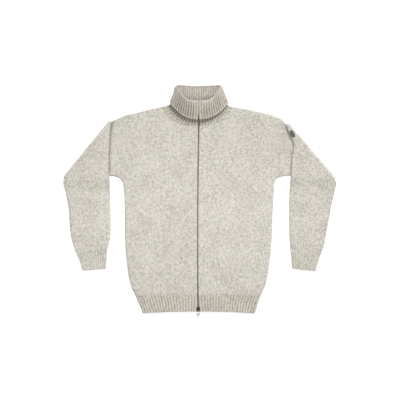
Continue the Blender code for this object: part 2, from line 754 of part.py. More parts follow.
def fold_axis(side):
    """The fold's centre line, and the direction away from the garment."""
    line = FOLD_OUTLINE[side]
    run = Vector((line.under_x - line.over_x, line.under_y - line.over_y, 0)).normalized()
    outward = Vector((-side * run.y, side * run.x, 0))
    if outward.x * side < 0:
        outward = -outward
    inset = -outward * (FOLD_RADIUS + MIDDLE)
    axis = Section(line.over_x + inset.x, line.over_y + inset.y,
                   line.under_x + inset.x, line.under_y + inset.y)
    return axis, outward


def sleeve_sections(side, stub_steps, fold_steps, lower_steps):
    """Every section of a sleeve with its centre offset, up direction and whether it settles."""
    axis, outward = fold_axis(side)
    start = STUB[side][0]
    clear = SEAM * side
    rows = [start._replace(over_x=start.over_x + clear, under_x=start.under_x + clear)]
    rows += STUB[side][1:] + [axis]
    sections = [(Section(*row), Vector((0, 0, MIDDLE)), Vector((0, 0, 1)), False)
                for row in spline(rows, stub_steps)[:-1]]
    for step in range(fold_steps + 1):
        angle = math.pi * step / fold_steps
        reach, rise = math.sin(angle), math.cos(angle)
        centre = outward * FOLD_RADIUS * reach
        centre.z = MIDDLE + FOLD_RADIUS * (1 - rise)
        sections.append((axis, centre, -outward * reach + Vector((0, 0, rise)), False))
    top = MIDDLE + 2 * FOLD_RADIUS
    for row in spline([axis] + LOWER[side], lower_steps)[1:]:
        sections.append((Section(*row), Vector((0, 0, top)), Vector((0, 0, -1)), True))
    return sections


def make_sleeve(side):
    outer, inner = [], []
    places = [(share / 6, 0.0) for share in range(1, 6)]
    sections = sleeve_sections(side, 1, FOLD_STEPS, 1)
    last = len(sections) - 1
    for number, (section, centre, up, sinks) in enumerate(sections):
        if number == last:
            section = section._replace(over_y=section.over_y + SEAM, under_y=section.under_y + SEAM)
        profile_out, profile_in = tube_profile(section_length(section), EDGE_DEPTH, places, places)
        outer.append(place_ring(section, profile_out, centre, up, sinks))
        inner.append(place_ring(section, profile_in, centre, up, sinks))
    return make_wall(f"sleeve_{SIDE_NAMES[side]}", outer, inner, True)


def make_cuff(side):
    widest = section_length(CUFF[side][0])
    ribs = round((widest - 2 * CUFF_EDGE_DEPTH) / RIB_PITCH / 1.12)
    top = [((rib + place) / ribs, rise * RIB_RISE) for rib in range(ribs) for place, rise in RIB_POINTS]
    top = [place for place in top if place[0] > 0.001]
    bottom = [(share / 4, 0.0) for share in range(1, 4)]
    outer, inner = [], []
    for section in CUFF[side]:
        profile_out, profile_in = tube_profile(section_length(section), CUFF_EDGE_DEPTH, top, bottom)
        centre, up = Vector((0, 0, MIDDLE)), Vector((0, 0, 1))
        outer.append(place_ring(section, profile_out, centre, up, False))
        inner.append(place_ring(section, profile_in, centre, up, False))
    return make_wall(f"cuff_{SIDE_NAMES[side]}", outer, inner, True)


# ------------------------------------------------------------------ zip
def zip_path():
    """Height of the underside of the cloth along the zip, from the hem up the collar."""
    underside = LAY_HEIGHT - WALL
    path = [(TAPE_END_Y, underside - SEAM), (-381.0, underside - SEAM),
            (SLIDER_TOP_Y - 2, underside - SEAM), (SLIDER_TOP_Y + 6, underside - SEAM),
            (ZIP_OPENS_AT, underside - SEAM)]
    path += [(y, underside - SEAM) for y in range(-280, 241, 65)]
    path += [(row.front_y, row.z_front - WALL / 2 - 0.6) for row in STAND_ROWS]
    path[-1] = (STAND_ROWS[-1].front_y - 4, path[-1][1] - 0.6)
    return path


def path_normals(path):
    normals = []
    for index in range(len(path)):
        before, after = path[max(index - 1, 0)], path[min(index + 1, len(path) - 1)]
        run = Vector((after[0] - before[0], after[1] - before[1])).normalized()
        normals.append((-run.y, run.x))
    return normals


def make_tape(side):
    path = zip_path()
    rows = []
    for (y, z), (normal_y, normal_z) in zip(path, path_normals(path)):
        gap = TAPE_GAP + (TAPE_GAP_OPEN - TAPE_GAP) * smooth_step((SLIDER_TOP_Y - y) / 5.0)
        near, far = zip_x(y) + side * gap, zip_x(y) + side * (TAPE_GAP + TAPE_WIDTH)
        rows.append([(x, y - normal_y * depth, z - normal_z * depth)
                     for x, depth in ((near, 0.0), (far, 0.0), (far, TAPE_THICKNESS), (near, TAPE_THICKNESS))])
    return make_bar(f"zip_tape_{SIDE_NAMES[side]}", rows, colour=TAPE_COLOUR, roughness=0.85)


def make_bar(name, rows, **finish):
    """A solid bar through equal sections."""
    count = len(rows[0])
    points = [point for row in rows for point in row]
    faces = []
    for row in range(len(rows) - 1):
        for corner in range(count):
            a, b = row * count + corner, row * count + (corner + 1) % count
            faces.append((a, b, b + count, a + count))
    faces.append(tuple(range(count)))
    faces.append(tuple(range((len(rows) - 1) * count, len(rows) * count)))
    return make_solid(name, points, faces, **finish)


def make_chain():
    path = [place for place in zip_path() if place[0] >= SLIDER_TOP_Y - 3]
    half = CHAIN_WIDTH / 2
    rows = []
    for (y, z), (normal_y, normal_z) in zip(path, path_normals(path)):
        corners = ((-half, SEAM), (half, SEAM), (half, SEAM + CHAIN_THICKNESS * 0.6),
                   (half * 0.5, SEAM + CHAIN_THICKNESS), (-half * 0.5, SEAM + CHAIN_THICKNESS),
                   (-half, SEAM + CHAIN_THICKNESS * 0.6))
        rows.append([(zip_x(y) + x, y + normal_y * rise, z + normal_z * rise) for x, rise in corners])
    return make_bar("zip_chain", rows, colour=DARK_METAL, roughness=0.45, metallic=0.7)


def plate(half_outline, low_z, high_z, centre_x):
    """Points and faces of a plate between two heights, from the right half of its outline."""
    outline = half_outline + [(-x, y) for x, y in reversed(half_outline)]
    count = len(outline)
    points = [(centre_x + x, y, z) for z in (low_z, high_z) for x, y in outline]
    faces = [tuple(reversed(range(count))), tuple(range(count, 2 * count))]
    faces += [(corner, (corner + 1) % count, count + (corner + 1) % count, count + corner)
              for corner in range(count)]
    return points, faces


def make_slider():
    """Two plates joined by a post, with a bridge over the top that holds the pull."""
    middle = zip_x(PULL_PIVOT_Y)
    pieces = [
        plate(SLIDER_OUTLINE, *SLIDER_FLOOR, middle),
        plate(POST_OUTLINE, SLIDER_FLOOR[1] - JOINED, SLIDER_ROOF[0] + JOINED, middle),
        plate(SLIDER_OUTLINE, *SLIDER_ROOF, middle),
    ]
    count = len(BRIDGE_SIDE)
    points = [(middle + x, y, SLIDER_ROOF[1] + rise)
              for x in (-BRIDGE_HALF_WIDTH, BRIDGE_HALF_WIDTH) for y, rise in BRIDGE_SIDE]
    faces = [tuple(range(count)), tuple(reversed(range(count, 2 * count)))]
    faces += [(corner + count, (corner + 1) % count + count, (corner + 1) % count, corner)
              for corner in range(count)]
    pieces.append((points, faces))
    bodies = []
    for number, (points, faces) in enumerate(pieces):
        name = "zip_slider" if number == 0 else f"slider_piece_{number}"
        bodies.append(make_solid(name, points, faces, colour=DARK_METAL, roughness=0.35, metallic=0.9))
    slider = bodies[0]
    for piece in bodies[1:]:
        union = slider.modifiers.new(piece.name, "BOOLEAN")
        union.operation = "UNION"
        union.solver = "EXACT"
        union.object = piece
        piece.hide_render = True
        piece.display_type = "WIRE"
    return slider


def even_outline(rows, count):
    """Evenly spaced (across, along) points round a closed outline, from its right half."""
    half = [(max(across, 0.0), along) for across, along in
            spline([(row.half_width, row.along) for row in rows], 4)]
    outline = half + [(-across, along) for across, along in half[-2:0:-1]]
    closed = outline + outline[:1]
    positions = arc_positions(closed)
    return [point_at(closed, positions, positions[-1] * step / count) for step in range(count)]


def make_pull():
    """A flat tab with one long hole, whose end bar turns in the slider's bridge."""
    pivot = (zip_x(PULL_PIVOT_Y), PULL_PIVOT_Y, PULL_PIVOT_Z)
    tilt = math.radians(PULL_REST_TILT)
    half = PULL_THICKNESS / 2
    points, faces = [], []
    outlines = (even_outline(PULL_OUTLINE, PULL_SEGMENTS), even_outline(PULL_HOLE, PULL_SEGMENTS))
    for segment, (outer, hole) in enumerate(zip(*outlines)):
        for (across, along), height in ((outer, half), (hole, half), (hole, -half), (outer, -half)):
            points.append((pivot[0] + across,
                           pivot[1] - along * math.cos(tilt) - height * math.sin(tilt),
                           pivot[2] - along * math.sin(tilt) + height * math.cos(tilt)))
        here, after = segment * 4, (segment + 1) % PULL_SEGMENTS * 4
        faces += [(here + corner, here + (corner + 1) % 4, after + (corner + 1) % 4, after + corner)
                  for corner in range(4)]
    return make_solid("zip_pull", points, faces, colour=PALE_METAL, roughness=0.3, metallic=1.0,
                      pivot=pivot)


def make_patch(sleeve):
    """A plain patch laid on the sleeve: its points come from the sleeve's surface, moved out."""
    tree = BVHTree.FromPolygons([vertex.co for vertex in sleeve.data.vertices],
                                [face.vertices for face in sleeve.data.polygons])
    cosine, sine = math.cos(math.radians(PATCH_TURN)), math.sin(math.radians(PATCH_TURN))
    columns, rows = PATCH_STEPS
    outer, inner = [], []
    for row in range(rows + 1):
        along = 0.5 - row / rows
        narrow = 1 - PATCH_NARROWING * abs(2 * along) ** 3
        row_out, row_in = [], []
        for column in range(columns + 1):
            x = (column / columns - 0.5) * PATCH_SIZE[0] * narrow
            y = along * PATCH_SIZE[1]
            above = Vector((PATCH_MIDDLE[0] + x * cosine - y * sine,
                            PATCH_MIDDLE[1] + x * sine + y * cosine, 2 * STACK)) * MM
            place, normal, _, _ = tree.ray_cast(above, Vector((0, 0, -1)))
            row_out.append(place / MM + normal * (SEAM + PATCH_THICKNESS))
            row_in.append(place / MM + normal * SEAM)
        outer.append(row_out)
        inner.append(row_in)
    return make_wall("sleeve_patch", outer, inner, False, colour=PATCH_COLOUR, roughness=0.8)


# ------------------------------------------------------------------ the garment
def clear_scene():
    for item in list(bpy.data.objects):
        bpy.data.objects.remove(item, do_unlink=True)


def centre_on_origin():
    """Move every piece so that the garment's footprint is centred on the origin."""
    bodies = list(bpy.context.scene.collection.objects)
    corners = [body.location + vertex.co for body in bodies for vertex in body.data.vertices]
    for axis in (0, 1):
        places = [corner[axis] for corner in corners]
        middle = (min(places) + max(places)) / 2
        for body in bodies:
            body.location[axis] -= middle


def make_cardigan():
    clear_scene()
    make_panel("back", back_borders(), -1)
    make_back_hem()
    for side in (RIGHT, LEFT):
        make_panel(f"front_{SIDE_NAMES[side]}", front_borders(side), 1)
        make_front_hem(side)
        sleeve = make_sleeve(side)
        if side == LEFT:
            make_patch(sleeve)
        make_cuff(side)
        make_tape(side)
    make_collar()
    make_chain()
    make_slider()
    make_pull()
    centre_on_origin()


make_cardigan()
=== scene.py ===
"""Chunky wool zip cardigan with a turned-down roll collar, laid flat and seen from above.

The frame is in metres, +Z up, neck towards +Y.  Forms are worked out in millimetres from the
solids' own values, with finer steps, and CENTRING moves them onto the origin.
Left and right are the wearer's, so the left front is at +X.
"""

import math
from collections import namedtuple

import bmesh
import bpy
import numpy as np
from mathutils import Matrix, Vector, noise
from mathutils.bvhtree import BVHTree
from mathutils.geometry import delaunay_2d_cdt


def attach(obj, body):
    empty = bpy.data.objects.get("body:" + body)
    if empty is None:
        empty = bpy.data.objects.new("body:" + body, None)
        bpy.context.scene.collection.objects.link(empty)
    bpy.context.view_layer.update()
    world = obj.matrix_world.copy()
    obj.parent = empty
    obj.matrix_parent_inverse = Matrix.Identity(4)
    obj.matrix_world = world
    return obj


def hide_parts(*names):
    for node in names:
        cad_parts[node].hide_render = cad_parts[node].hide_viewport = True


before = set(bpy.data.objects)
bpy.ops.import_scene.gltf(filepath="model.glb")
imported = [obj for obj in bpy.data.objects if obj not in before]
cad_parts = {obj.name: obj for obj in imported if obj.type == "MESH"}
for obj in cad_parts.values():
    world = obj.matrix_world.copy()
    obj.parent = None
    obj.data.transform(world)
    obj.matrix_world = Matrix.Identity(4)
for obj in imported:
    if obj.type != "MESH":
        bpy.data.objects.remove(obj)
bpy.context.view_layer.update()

MM = 0.001
CENTRING = (0.2008, 2.4565)     # the solids' own move onto the origin
RIGHT, LEFT = -1, 1
SIDE_NAMES = {RIGHT: "right", LEFT: "left"}

# Cloth
WALL = 3.5
SEAM = 0.3
LAY_HEIGHT = 9.5                # two layers of cloth on each other
MIDDLE = LAY_HEIGHT / 2
EDGE_DEPTH = 9.0                # width of the rounded strip along a side
EDGE_ANGLES = (18, 34, 48, 61, 72, 81, 90)
RIM_DEPTH = 1.7                 # rounding of a bare edge of the cloth
RIM_ANGLES = (35, 65, 90)
RIM_LEAST = 0.12                # share of the thickness that a bare edge keeps
BOUND_ANGLES = (20, 45, 70)     # round a bound-off edge
SPACING = 5.0                   # between the points of a panel
ROW_SHARE = 0.87                # its rows are this much closer, for even triangles
SHOULDER_BOW = 1.2
LINE_SAMPLES = {"side": 200, "shoulder": 40, "zip": 130, "neck": 60, "back_neck": 30}

# Ribs
RIB_PITCH = 9.1
RIB_STEPS = 8
RIB_DEPTH = 2.1                 # from a ridge down to the valley beside it
RIB_SHARPNESS = 0.75            # below 1 the ridges are broad and the valleys narrow

# Hem and zip
HEM_TOP = -325.5
HEM_BOTTOM = -390.0
HEM_CORNER_DROP = 6.5
HEM_ROW_COUNT = 26
HEM_START = 0.16                # share of the hem in which its ribs begin
HEM_MARGIN = 0.4                # share of the rounded side that has no rib of its own
HEM_PEAK = 0.5                  # the front's ridges stand this much above the panel
HEM_SIDE_RIBS = 0.35            # share of the ribs' depth left at the rounded side
HEM_CALM = 0.6                  # the lower edge rises and falls this much less
ZIP_GAP = 2.2
ZIP_GAP_OPEN = 6.2
ZIP_OPENS = (-362.0, -385.0)    # where the fronts begin to part, and where they are fully apart
ZIP_CALM_WIDTH = 30.0           # the body lies flat beside the zip
TAPE_WIDTH = 12.0
TAPE_THICKNESS = 0.9
TAPE_GAP = 0.3
TAPE_GAP_OPEN = 2.4
TAPE_OPENS_IN = 5.0
TAPE_END_Y = -387.2
TAPE_STEPS = 220


def rows_of(kind, *rows):
    return [kind(*row) for row in rows]


SIDE_ROWS = rows_of(
    namedtuple("SideRow", "y right_x left_x"),
    (-395, -200.5, 191.5), (-385, -203.5, 196.0), (-364, -212.5, 201.5), (-343, -221.0, 209.5),
    (-322, -231.5, 217.5), (-300, -241.0, 227.5), (-260, -250.5, 237.5), (-220, -255.5, 243.0),
    (-175, -260.0, 248.0), (-130, -262.5, 251.5), (-50, -262.5, 254.0), (0, -263.5, 257.0),
    (35, -266.0, 259.0), (61, -269.5, 259.5))
ZIP_ROWS = rows_of(
    namedtuple("ZipRow", "y x"),
    (-400, -5.5), (-330, -7.5), (-100, -8.5), (60, -7.5), (200, -5.5), (345, -4.0))

# Sleeve sections: over is the edge along the top of the arm, under the one along the underarm
Section = namedtuple("Section", "over_x over_y under_x under_y")
STUB = {
    RIGHT: rows_of(Section, (-224.0, 304.0, -269.5, 61), (-244, 300.5, -283, 77.5),
                   (-266, 293.5, -316, 84.5), (-288, 284.5, -375, 82)),
    LEFT: rows_of(Section, (217.0, 305, 259.5, 61), (238, 300.5, 271, 76.5),
                  (260, 293, 305, 84), (284, 282.5, 368, 82)),
}
FOLD_OUTLINE = {
    RIGHT: Section(-316.5, 279.5, -479.5, 80),
    LEFT: Section(309.5, 269.5, 476.5, 76),
}
CUFF = {
    RIGHT: rows_of(Section, (-324.5, -176, -435.5, -180), (-326.5, -208, -421.0, -213),
                   (-329.5, -240.5, -411.0, -247)),
    LEFT: rows_of(Section, (314.5, -156, 433.5, -160), (319.0, -200, 416.5, -206),
                  (322.0, -240, 404.5, -249.5)),
}
LOWER = {
    RIGHT: rows_of(Section, (-310.5, 256, -477.0, 63), (-313.5, 226, -475.0, 47),
                   (-314.5, 186, -471.0, 33), (-315.5, 140, -467.5, 16),
                   (-315.5, 92, -463.5, -3), (-314.0, 40, -460.0, -24),
                   (-312.5, -24, -457.5, -50), (-312.0, -84, -455.0, -90),
                   (-313.5, -130, -449.0, -136), CUFF[RIGHT][0]),
    LEFT: rows_of(Section, (306, 246, 476.5, 62), (320, 218, 475.0, 46),
                  (327, 194, 471.5, 30), (320.5, 146, 466.5, 10),
                  (317.5, 92, 461.5, -8), (313.5, 40, 457.5, -30),
                  (311.5, -24, 453.0, -56), (311.5, -76, 447.0, -88),
                  (312.5, -120, 440.5, -124), CUFF[LEFT][0]),
}
STUB_STEPS, FOLD_STEPS, LOWER_STEPS, CUFF_STEPS = 6, 18, 9, 12
STACK = LAY_HEIGHT + 0.5        # height of the fold's lower layer, with a little air above it
FOLD_RADIUS = STACK / 2
SETTLES = (82.0, 27.0)          # below the upper arm the folded part comes down to the table
LOOSE_AFTER = 12                # sections in which it gets loose after the fold
LOOSE_BEFORE = 8                # and tight again before the cuff
CUFF_EDGE_DEPTH = 6.0
CUFF_SIDE_RIBS = 0.2            # share of the ribs' depth left at its rounded sides
CUFF_WIDENING = 1.12            # of the ribs, against those of the hem
CUFF_START = 3                  # sections in which the cuff's ribs begin
TUBE_SPACING = 4.5              # between the points round a sleeve

# Painted shadow lines on the right sleeve: along the inner fold and beside it, and painted shade
# along the lower edge
FOLD_LINE_WIDTH = 10.0
FOLD_LINE_STARTS = (72.0, 102.0)
CONTACT = [(-315.5, 92.0), (-315.0, 186.0), (-313.0, 226.0), (-311.0, 246.0), (-306.0, 264.0),
           (-302.0, 278.0)]
CONTACT_WIDTH = 7.0
CONTACT_FADES = (235.0, 145.0)
CONTACT_FADE = 0.6
UNDER_LINE = 0.9
UNDER_LINE_WIDTH = 5.0

# Rings of the collar; bend and dip shape the front of a ring from its sides to the zip
CollarRow = namedtuple(
    "CollarRow", "centre_x half_width side_y front_y back_y z_front z_back power bend dip")
STAND_ROWS = rows_of(
    CollarRow,
    (-9.0, 120.5, 326.0, 258.5, 325, 7.9, 2.2, 0.1, 2.2, 0.55),
    (-4.0, 96.5, 334, 278.0, 339, 16.0, 5.0, 0.35, 2.3, 0.95),
    (-4.5, 90.0, 346, 293.0, 353, 22.5, 6.2, 0.45, 2.7, 1.3),
    (-3.5, 82.5, 369, 318.0, 378, 29.0, 6.4, 0.45, 3.5, 2.0),
    (-4.5, 78.0, 391, 341.5, 399, 34.3, 6.3, 0.45, 4.5, 2.8))
TURNED_ROWS = rows_of(
    CollarRow,
    (-4.5, 82.5, 391, 341.5, 399, 38.8, 1.8, 0.45, 4.5, 2.8),
    (-3.3, 87.2, 373, 322.0, 380, 36.4, 1.8, 0.45, 3.6, 2.1),
    (-3.8, 95.2, 354, 302.0, 360, 32.0, 1.8, 0.45, 3.0, 1.5),
    (-2.8, 101.0, 336, 280.5, 340, 26.5, 1.8, 0.45, 2.3, 1.0))
STAND_GAP = 2.2
TURNED_GAPS = (0.15, 0.15, 0.3, 1.7)
COLLAR_RIBS = 48
COLLAR_STEPS = 8                # fine rows between two rows of the tables
ROLL_ANGLES = range(18, 180, 18)
COLLAR_PLAN_POWER = 0.9
COLLAR_BACK_CURVE = 0.5
COLLAR_BACK_DIP = 4.5           # the back edge sags this much between its ends
COLLAR_FRONT_Y = 300.0
NECK_CLEARANCE = 0.4
NECK_END_TURN = 3               # degrees from the front, where the fronts' necklines end
GAP_TURN = 0.02                 # degrees that a ring keeps from the zip beyond its gap
COLLAR_CENTRING = 6             # power: how close to the zip a ring is drawn onto its line
ROLL_LEAST_RADIUS = 0.25        # of the roll's inside
RING_SAMPLES = 721

# The collar's ribs.  FOOT, COVERED and TUCKED are stretches of the stand, in rows of its table:
# where its ribs begin, where it goes out of sight and where the turned layer starts to shade it
FOOT, COVERED, TUCKED = (0.0, 0.6), (1.2, 1.8), (0.4, 0.85)
RIDGE_SHARE = 0.4               # of a rib's depth, by which its ridge stands off the plain wall
FOOT_RIBS = 0.7                 # share of their depth that the ribs have at the neck
ROLL_OPENING = 0.8              # the ribs flatten this much over the roll
LIP_FADE = 5.0                  # how fast the lip of the roll gives way to the ribs
BOUND_EDGE = 0.15               # plain bound-off strip, as a share of the turned layer
CALM_WIDTH = 18.0               # beside the zip the ribs of the turned layer are shallower
CALM_SHARE = 0.55
LEFT_CALM, LEFT_RUN = 0.2, 40.0     # and so they are on the left half
SIDE_CALM, SIDE_RUN = 0.5, (0.72, 0.92)     # and where it turns to the back

# The collar's colour, painted shade: valleys from 0, plain, to 1, dark; paleness from the collar's
# darkened copy of the body's wool to the body's wool itself
INSIDE_VALLEY = 0.22
OPEN_VALLEY = 0.35              # of the stand's valleys clear of the turned layer
UNDER_EDGE_SHADOW = 0.25               # painted shadow just under the free edge
# Painted shadow: share of paleness lost where the turned layer hangs over the stand
TUCKED_SHADE = 0.5
INSIDE_PALE = 0.8
# Painted highlight: paleness of the roll's lip, where it catches the light
LIP_HIGHLIGHT = 0.9

Crease = namedtuple("Crease", "x y length width height angle")
BODY_CREASES = rows_of(
    Crease, (-225, 40, 90, 26, 1.5, 35), (205, 30, 100, 28, 1.4, 140),
    (-150, 235, 110, 36, 1.2, 20), (150, 215, 120, 38, 1.3, 155), (45, -300, 60, 16, 1.0, 88),
    (-120, -250, 120, 34, 0.9, 80), (120, -230, 140, 36, 0.9, 96))
SLEEVE_CREASES = rows_of(
    Crease, (-395, 45, 90, 22, 1.6, 12), (-400, 5, 80, 20, 1.3, -6),
    (-350, 150, 100, 26, 1.4, 60), (-385, -120, 70, 24, 1.2, 70), (395, 30, 90, 22, 1.6, 168),
    (400, -10, 80, 20, 1.3, -172), (360, 140, 100, 26, 1.3, 118), (375, -110, 80, 24, 1.2, 100))
UNDULATION = 0.55               # soft unevenness of cloth that lies free
HILL_SIZE = 55.0
SMALL_HILLS, SMALL_SHARE = (23.0, 31.0), 0.5
BODY_SEED, SLEEVE_SEED, SMALL_SEED = 1.0, 11.0, 7.0

# Zip teeth, slider and pull
TEETH_START, TEETH_END = 1.0, 2.0   # below the slider's upper end, and short of the tape's end
TOOTH_PITCH = 2.6
TOOTH_THICKNESS = 1.35
TOOTH_REACH = (1.75, -0.45)     # outer and inner end of a tooth, from the middle of the zip
TOOTH_TAPER = 0.7               # its inner end is narrower
TOOTH_LAYERS = rows_of(
    namedtuple("ToothLayer", "height spread drawn_in"),
    (0.2, 1.0, 0.0), (1.3, 1.0, 0.0), (2.0, 0.62, 0.3))
SLIDER_TOP_Y, SLIDER_LOW_Y = -374.0, -391.0
OutlineRow = namedtuple("OutlineRow", "half_width along")
SLIDER_OUTLINE = rows_of(
    OutlineRow, (0.0, SLIDER_TOP_Y), (2.2, -374.6), (3.2, -376.6), (4.4, -381.0), (5.5, -387.0),
    (5.4, -390.0), (4.0, SLIDER_LOW_Y), (0.0, SLIDER_LOW_Y))
DIVIDER_OUTLINE = rows_of(
    OutlineRow, (0.0, -381.5), (1.2, -382.0), (1.6, -386.0), (0.0, -387.0))
PlateLayer = namedtuple("PlateLayer", "height scale")
SLIDER_FLOOR = rows_of(PlateLayer, (3.8, 0.92), (4.05, 1.0), (4.5, 1.0))
SLIDER_ROOF = rows_of(PlateLayer, (8.9, 1.0), (9.65, 1.0), (9.98, 0.95), (10.1, 0.84))
DIVIDER = rows_of(PlateLayer, (4.3, 1.0), (9.1, 1.0))
BAIL = rows_of(
    namedtuple("BailRow", "y z"), (-378.6, 9.8), (-378.6, 11.4), (-379.9, 12.7), (-382.6, 13.4),
    (-385.6, 13.2), (-387.0, 11.9), (-387.2, 9.8))
BAIL_HALF_WIDTH, BAIL_HALF_THICKNESS = 0.8, 0.4
BAIL_SIDES, BAIL_ROUNDNESS = 10, 0.6
PULL_PIVOT_Y, PULL_PIVOT_Z = -385.0, 11.5
PULL_REST_TILT = 5.5
PULL_HALF_THICKNESS = 0.7
PULL_BEVEL = 0.3
PULL_MIDDLE = 10.0
PULL_POINTS = 96
PULL_OUTLINE = rows_of(
    OutlineRow, (0.0, -0.7), (2.2, -0.7), (3.3, 0.3), (4.1, 4.0), (5.4, 8.0), (6.5, 11.0),
    (6.6, 12.6), (5.4, 16.5), (3.9, 20.5), (2.7, 21.7), (0.0, 21.8))
PULL_HOLE = rows_of(
    OutlineRow, (0.0, 0.7), (1.3, 0.7), (2.1, 1.2), (2.9, 4.0), (4.0, 7.5), (4.8, 9.6),
    (4.2, 10.3), (0.0, 10.4))

# Plain patch on the left sleeve
PATCH_MIDDLE = (322.6, 230.6)
PATCH_SIZE = (13.5, 25.5)
PATCH_TURN = 26.0
PATCH_NARROWING = 0.3           # its ends are narrower than its middle by this share
PATCH_THICKNESS = 0.9
PATCH_STEPS = (13, 19)


# ------------------------------------------------------------------ curves in the plan
def spline(rows, steps):
    """A smooth curve through the rows, with `steps` pieces between each two."""
    rows = [np.array(row, float) for row in rows]
    padded = [rows[0], *rows, rows[-1]]
    curve = []
    for a, b, c, d in zip(padded, padded[1:], padded[2:], padded[3:]):
        for t in np.arange(steps) / steps:
            curve.append(0.5 * (2 * b + (c - a) * t + (2 * a - 5 * b + 4 * c - d) * t * t
                                + (3 * b - a - 3 * c + d) * t ** 3))
    return np.array(curve + [rows[-1]])


SIDE_CURVE = spline(SIDE_ROWS, 8)
ZIP_CURVE = spline(ZIP_ROWS, 8)


def side_x(side, y):
    return np.interp(y, SIDE_CURVE[:, 0], SIDE_CURVE[:, 1 if side == RIGHT else 2])


def zip_x(y):
    return np.interp(y, ZIP_CURVE[:, 0], ZIP_CURVE[:, 1])


def ramp(value, start, end):
    """0 up to the start, 1 from the end on, and smooth between them."""
    share = np.clip((value - start) / (end - start), 0.0, 1.0)
    return share * share * (3 - 2 * share)


def between(first, second, share):
    return first + (second - first) * share


def sine_cosine(degrees):
    return np.sin(np.radians(degrees)), np.cos(np.radians(degrees))


def front_edge(side, y):
    return zip_x(y) + side * between(ZIP_GAP, ZIP_GAP_OPEN, ramp(y, *ZIP_OPENS))


def lengths_along(line):
    steps = np.linalg.norm(np.diff(line, axis=0), axis=1)
    return np.concatenate([[0.0], np.cumsum(steps)])


def points_at(line, distances):
    places = lengths_along(line)
    return np.column_stack([np.interp(distances, places, column) for column in line.T])


def spaced(line):
    total = lengths_along(line)[-1]
    return points_at(line, np.linspace(0, total, max(2, round(total / SPACING)) + 1))


def unit(vectors):
    return vectors / np.linalg.norm(vectors, axis=1)[:, None]


def sideways(runs, turn=1):
    """Unit vectors square to the runs, on one side or the other."""
    runs = unit(runs)
    return np.column_stack([-runs[:, 1] * turn, runs[:, 0] * turn])


# ------------------------------------------------------------------ how the cloth lies
def fullness(distance, depth):
    """Share of the full half height at a distance in from a rounded edge."""
    reach = np.clip(distance / depth, 0.0, 1.0)
    return np.sqrt(np.maximum(0.0, 1 - (1 - reach) ** 2))


def edge_offsets(depth, angles):
    return [depth * (1 - math.cos(math.radians(angle))) for angle in angles]


def layer_heights(face, full, lift, peak=0.0):
    """Outer and inner height of the front (face 1) or the back (face -1) where it lies full."""
    outer = MIDDLE + face * (SEAM / 2 + (MIDDLE - SEAM / 2 + peak) * full) + lift
    return outer, MIDDLE + face * (SEAM / 2 + (MIDDLE - WALL - SEAM / 2) * full) + lift


def inner_shift(distance, depth):
    return WALL * (1 - np.clip(distance / depth, 0.0, 1.0))


def swell(creases, x, y, seed):
    """How far loose cloth rises above its flat height, in creases and in soft hills."""
    height = np.zeros(np.shape(x))
    for crease in creases:
        sine, cosine = sine_cosine(crease.angle)
        along = (x - crease.x) * cosine + (y - crease.y) * sine
        across = (y - crease.y) * cosine - (x - crease.x) * sine
        spread = (2 * along / crease.length) ** 2 + (2 * across / crease.width) ** 2
        height += crease.height * np.exp(-spread)
    x, y = np.broadcast_arrays(x, y)
    hills = [noise.noise(Vector((a / HILL_SIZE, b / HILL_SIZE, seed))) + SMALL_SHARE
             * noise.noise(Vector((a / SMALL_HILLS[0], b / SMALL_HILLS[1], seed + SMALL_SEED)))
             for a, b in zip(x.ravel(), y.ravel())]
    return height + UNDULATION * np.array(hills).reshape(x.shape)


def body_lift(x, y):
    return swell(BODY_CREASES, x, y, BODY_SEED) * ramp(np.abs(x - zip_x(y)), 0, ZIP_CALM_WIDTH)


def rib_height(place):
    """Share of the rib's rise at a place counted in ribs; whole numbers are valleys."""
    return np.abs(np.sin(np.pi * place)) ** RIB_SHARPNESS


# ------------------------------------------------------------------ meshes
def add_object(name, data):
    made = bpy.data.objects.new(name, data)
    bpy.context.scene.collection.objects.link(made)
    return made


def finish_mesh(name, points, faces, corner_uv=None, marks=None, sharp=55):
    """One closed body from points in millimetres."""
    mesh = bpy.data.meshes.new(name)
    shifted = (np.asarray(points, float) + np.array([*CENTRING, 0.0])) * MM
    mesh.from_pydata(shifted.tolist(), [], faces)
    if corner_uv is not None:
        layer = mesh.uv_layers.new(name="knit")
        layer.data.foreach_set("uv", (np.asarray(corner_uv, np.float32) * MM).ravel())
    for mark, values in (marks or {}).items():
        attribute = mesh.attributes.new(mark, "FLOAT", "POINT")
        attribute.data.foreach_set("value", np.asarray(values, np.float32).ravel())
    shell = bmesh.new()
    shell.from_mesh(mesh)
    bmesh.ops.recalc_face_normals(shell, faces=shell.faces)
    if shell.calc_volume(signed=True) < 0:
        bmesh.ops.reverse_faces(shell, faces=shell.faces)
    shell.to_mesh(mesh)
    shell.free()
    mesh.shade_smooth()
    mesh.set_sharp_from_angle(angle=math.radians(sharp))
    return add_object(name, mesh)


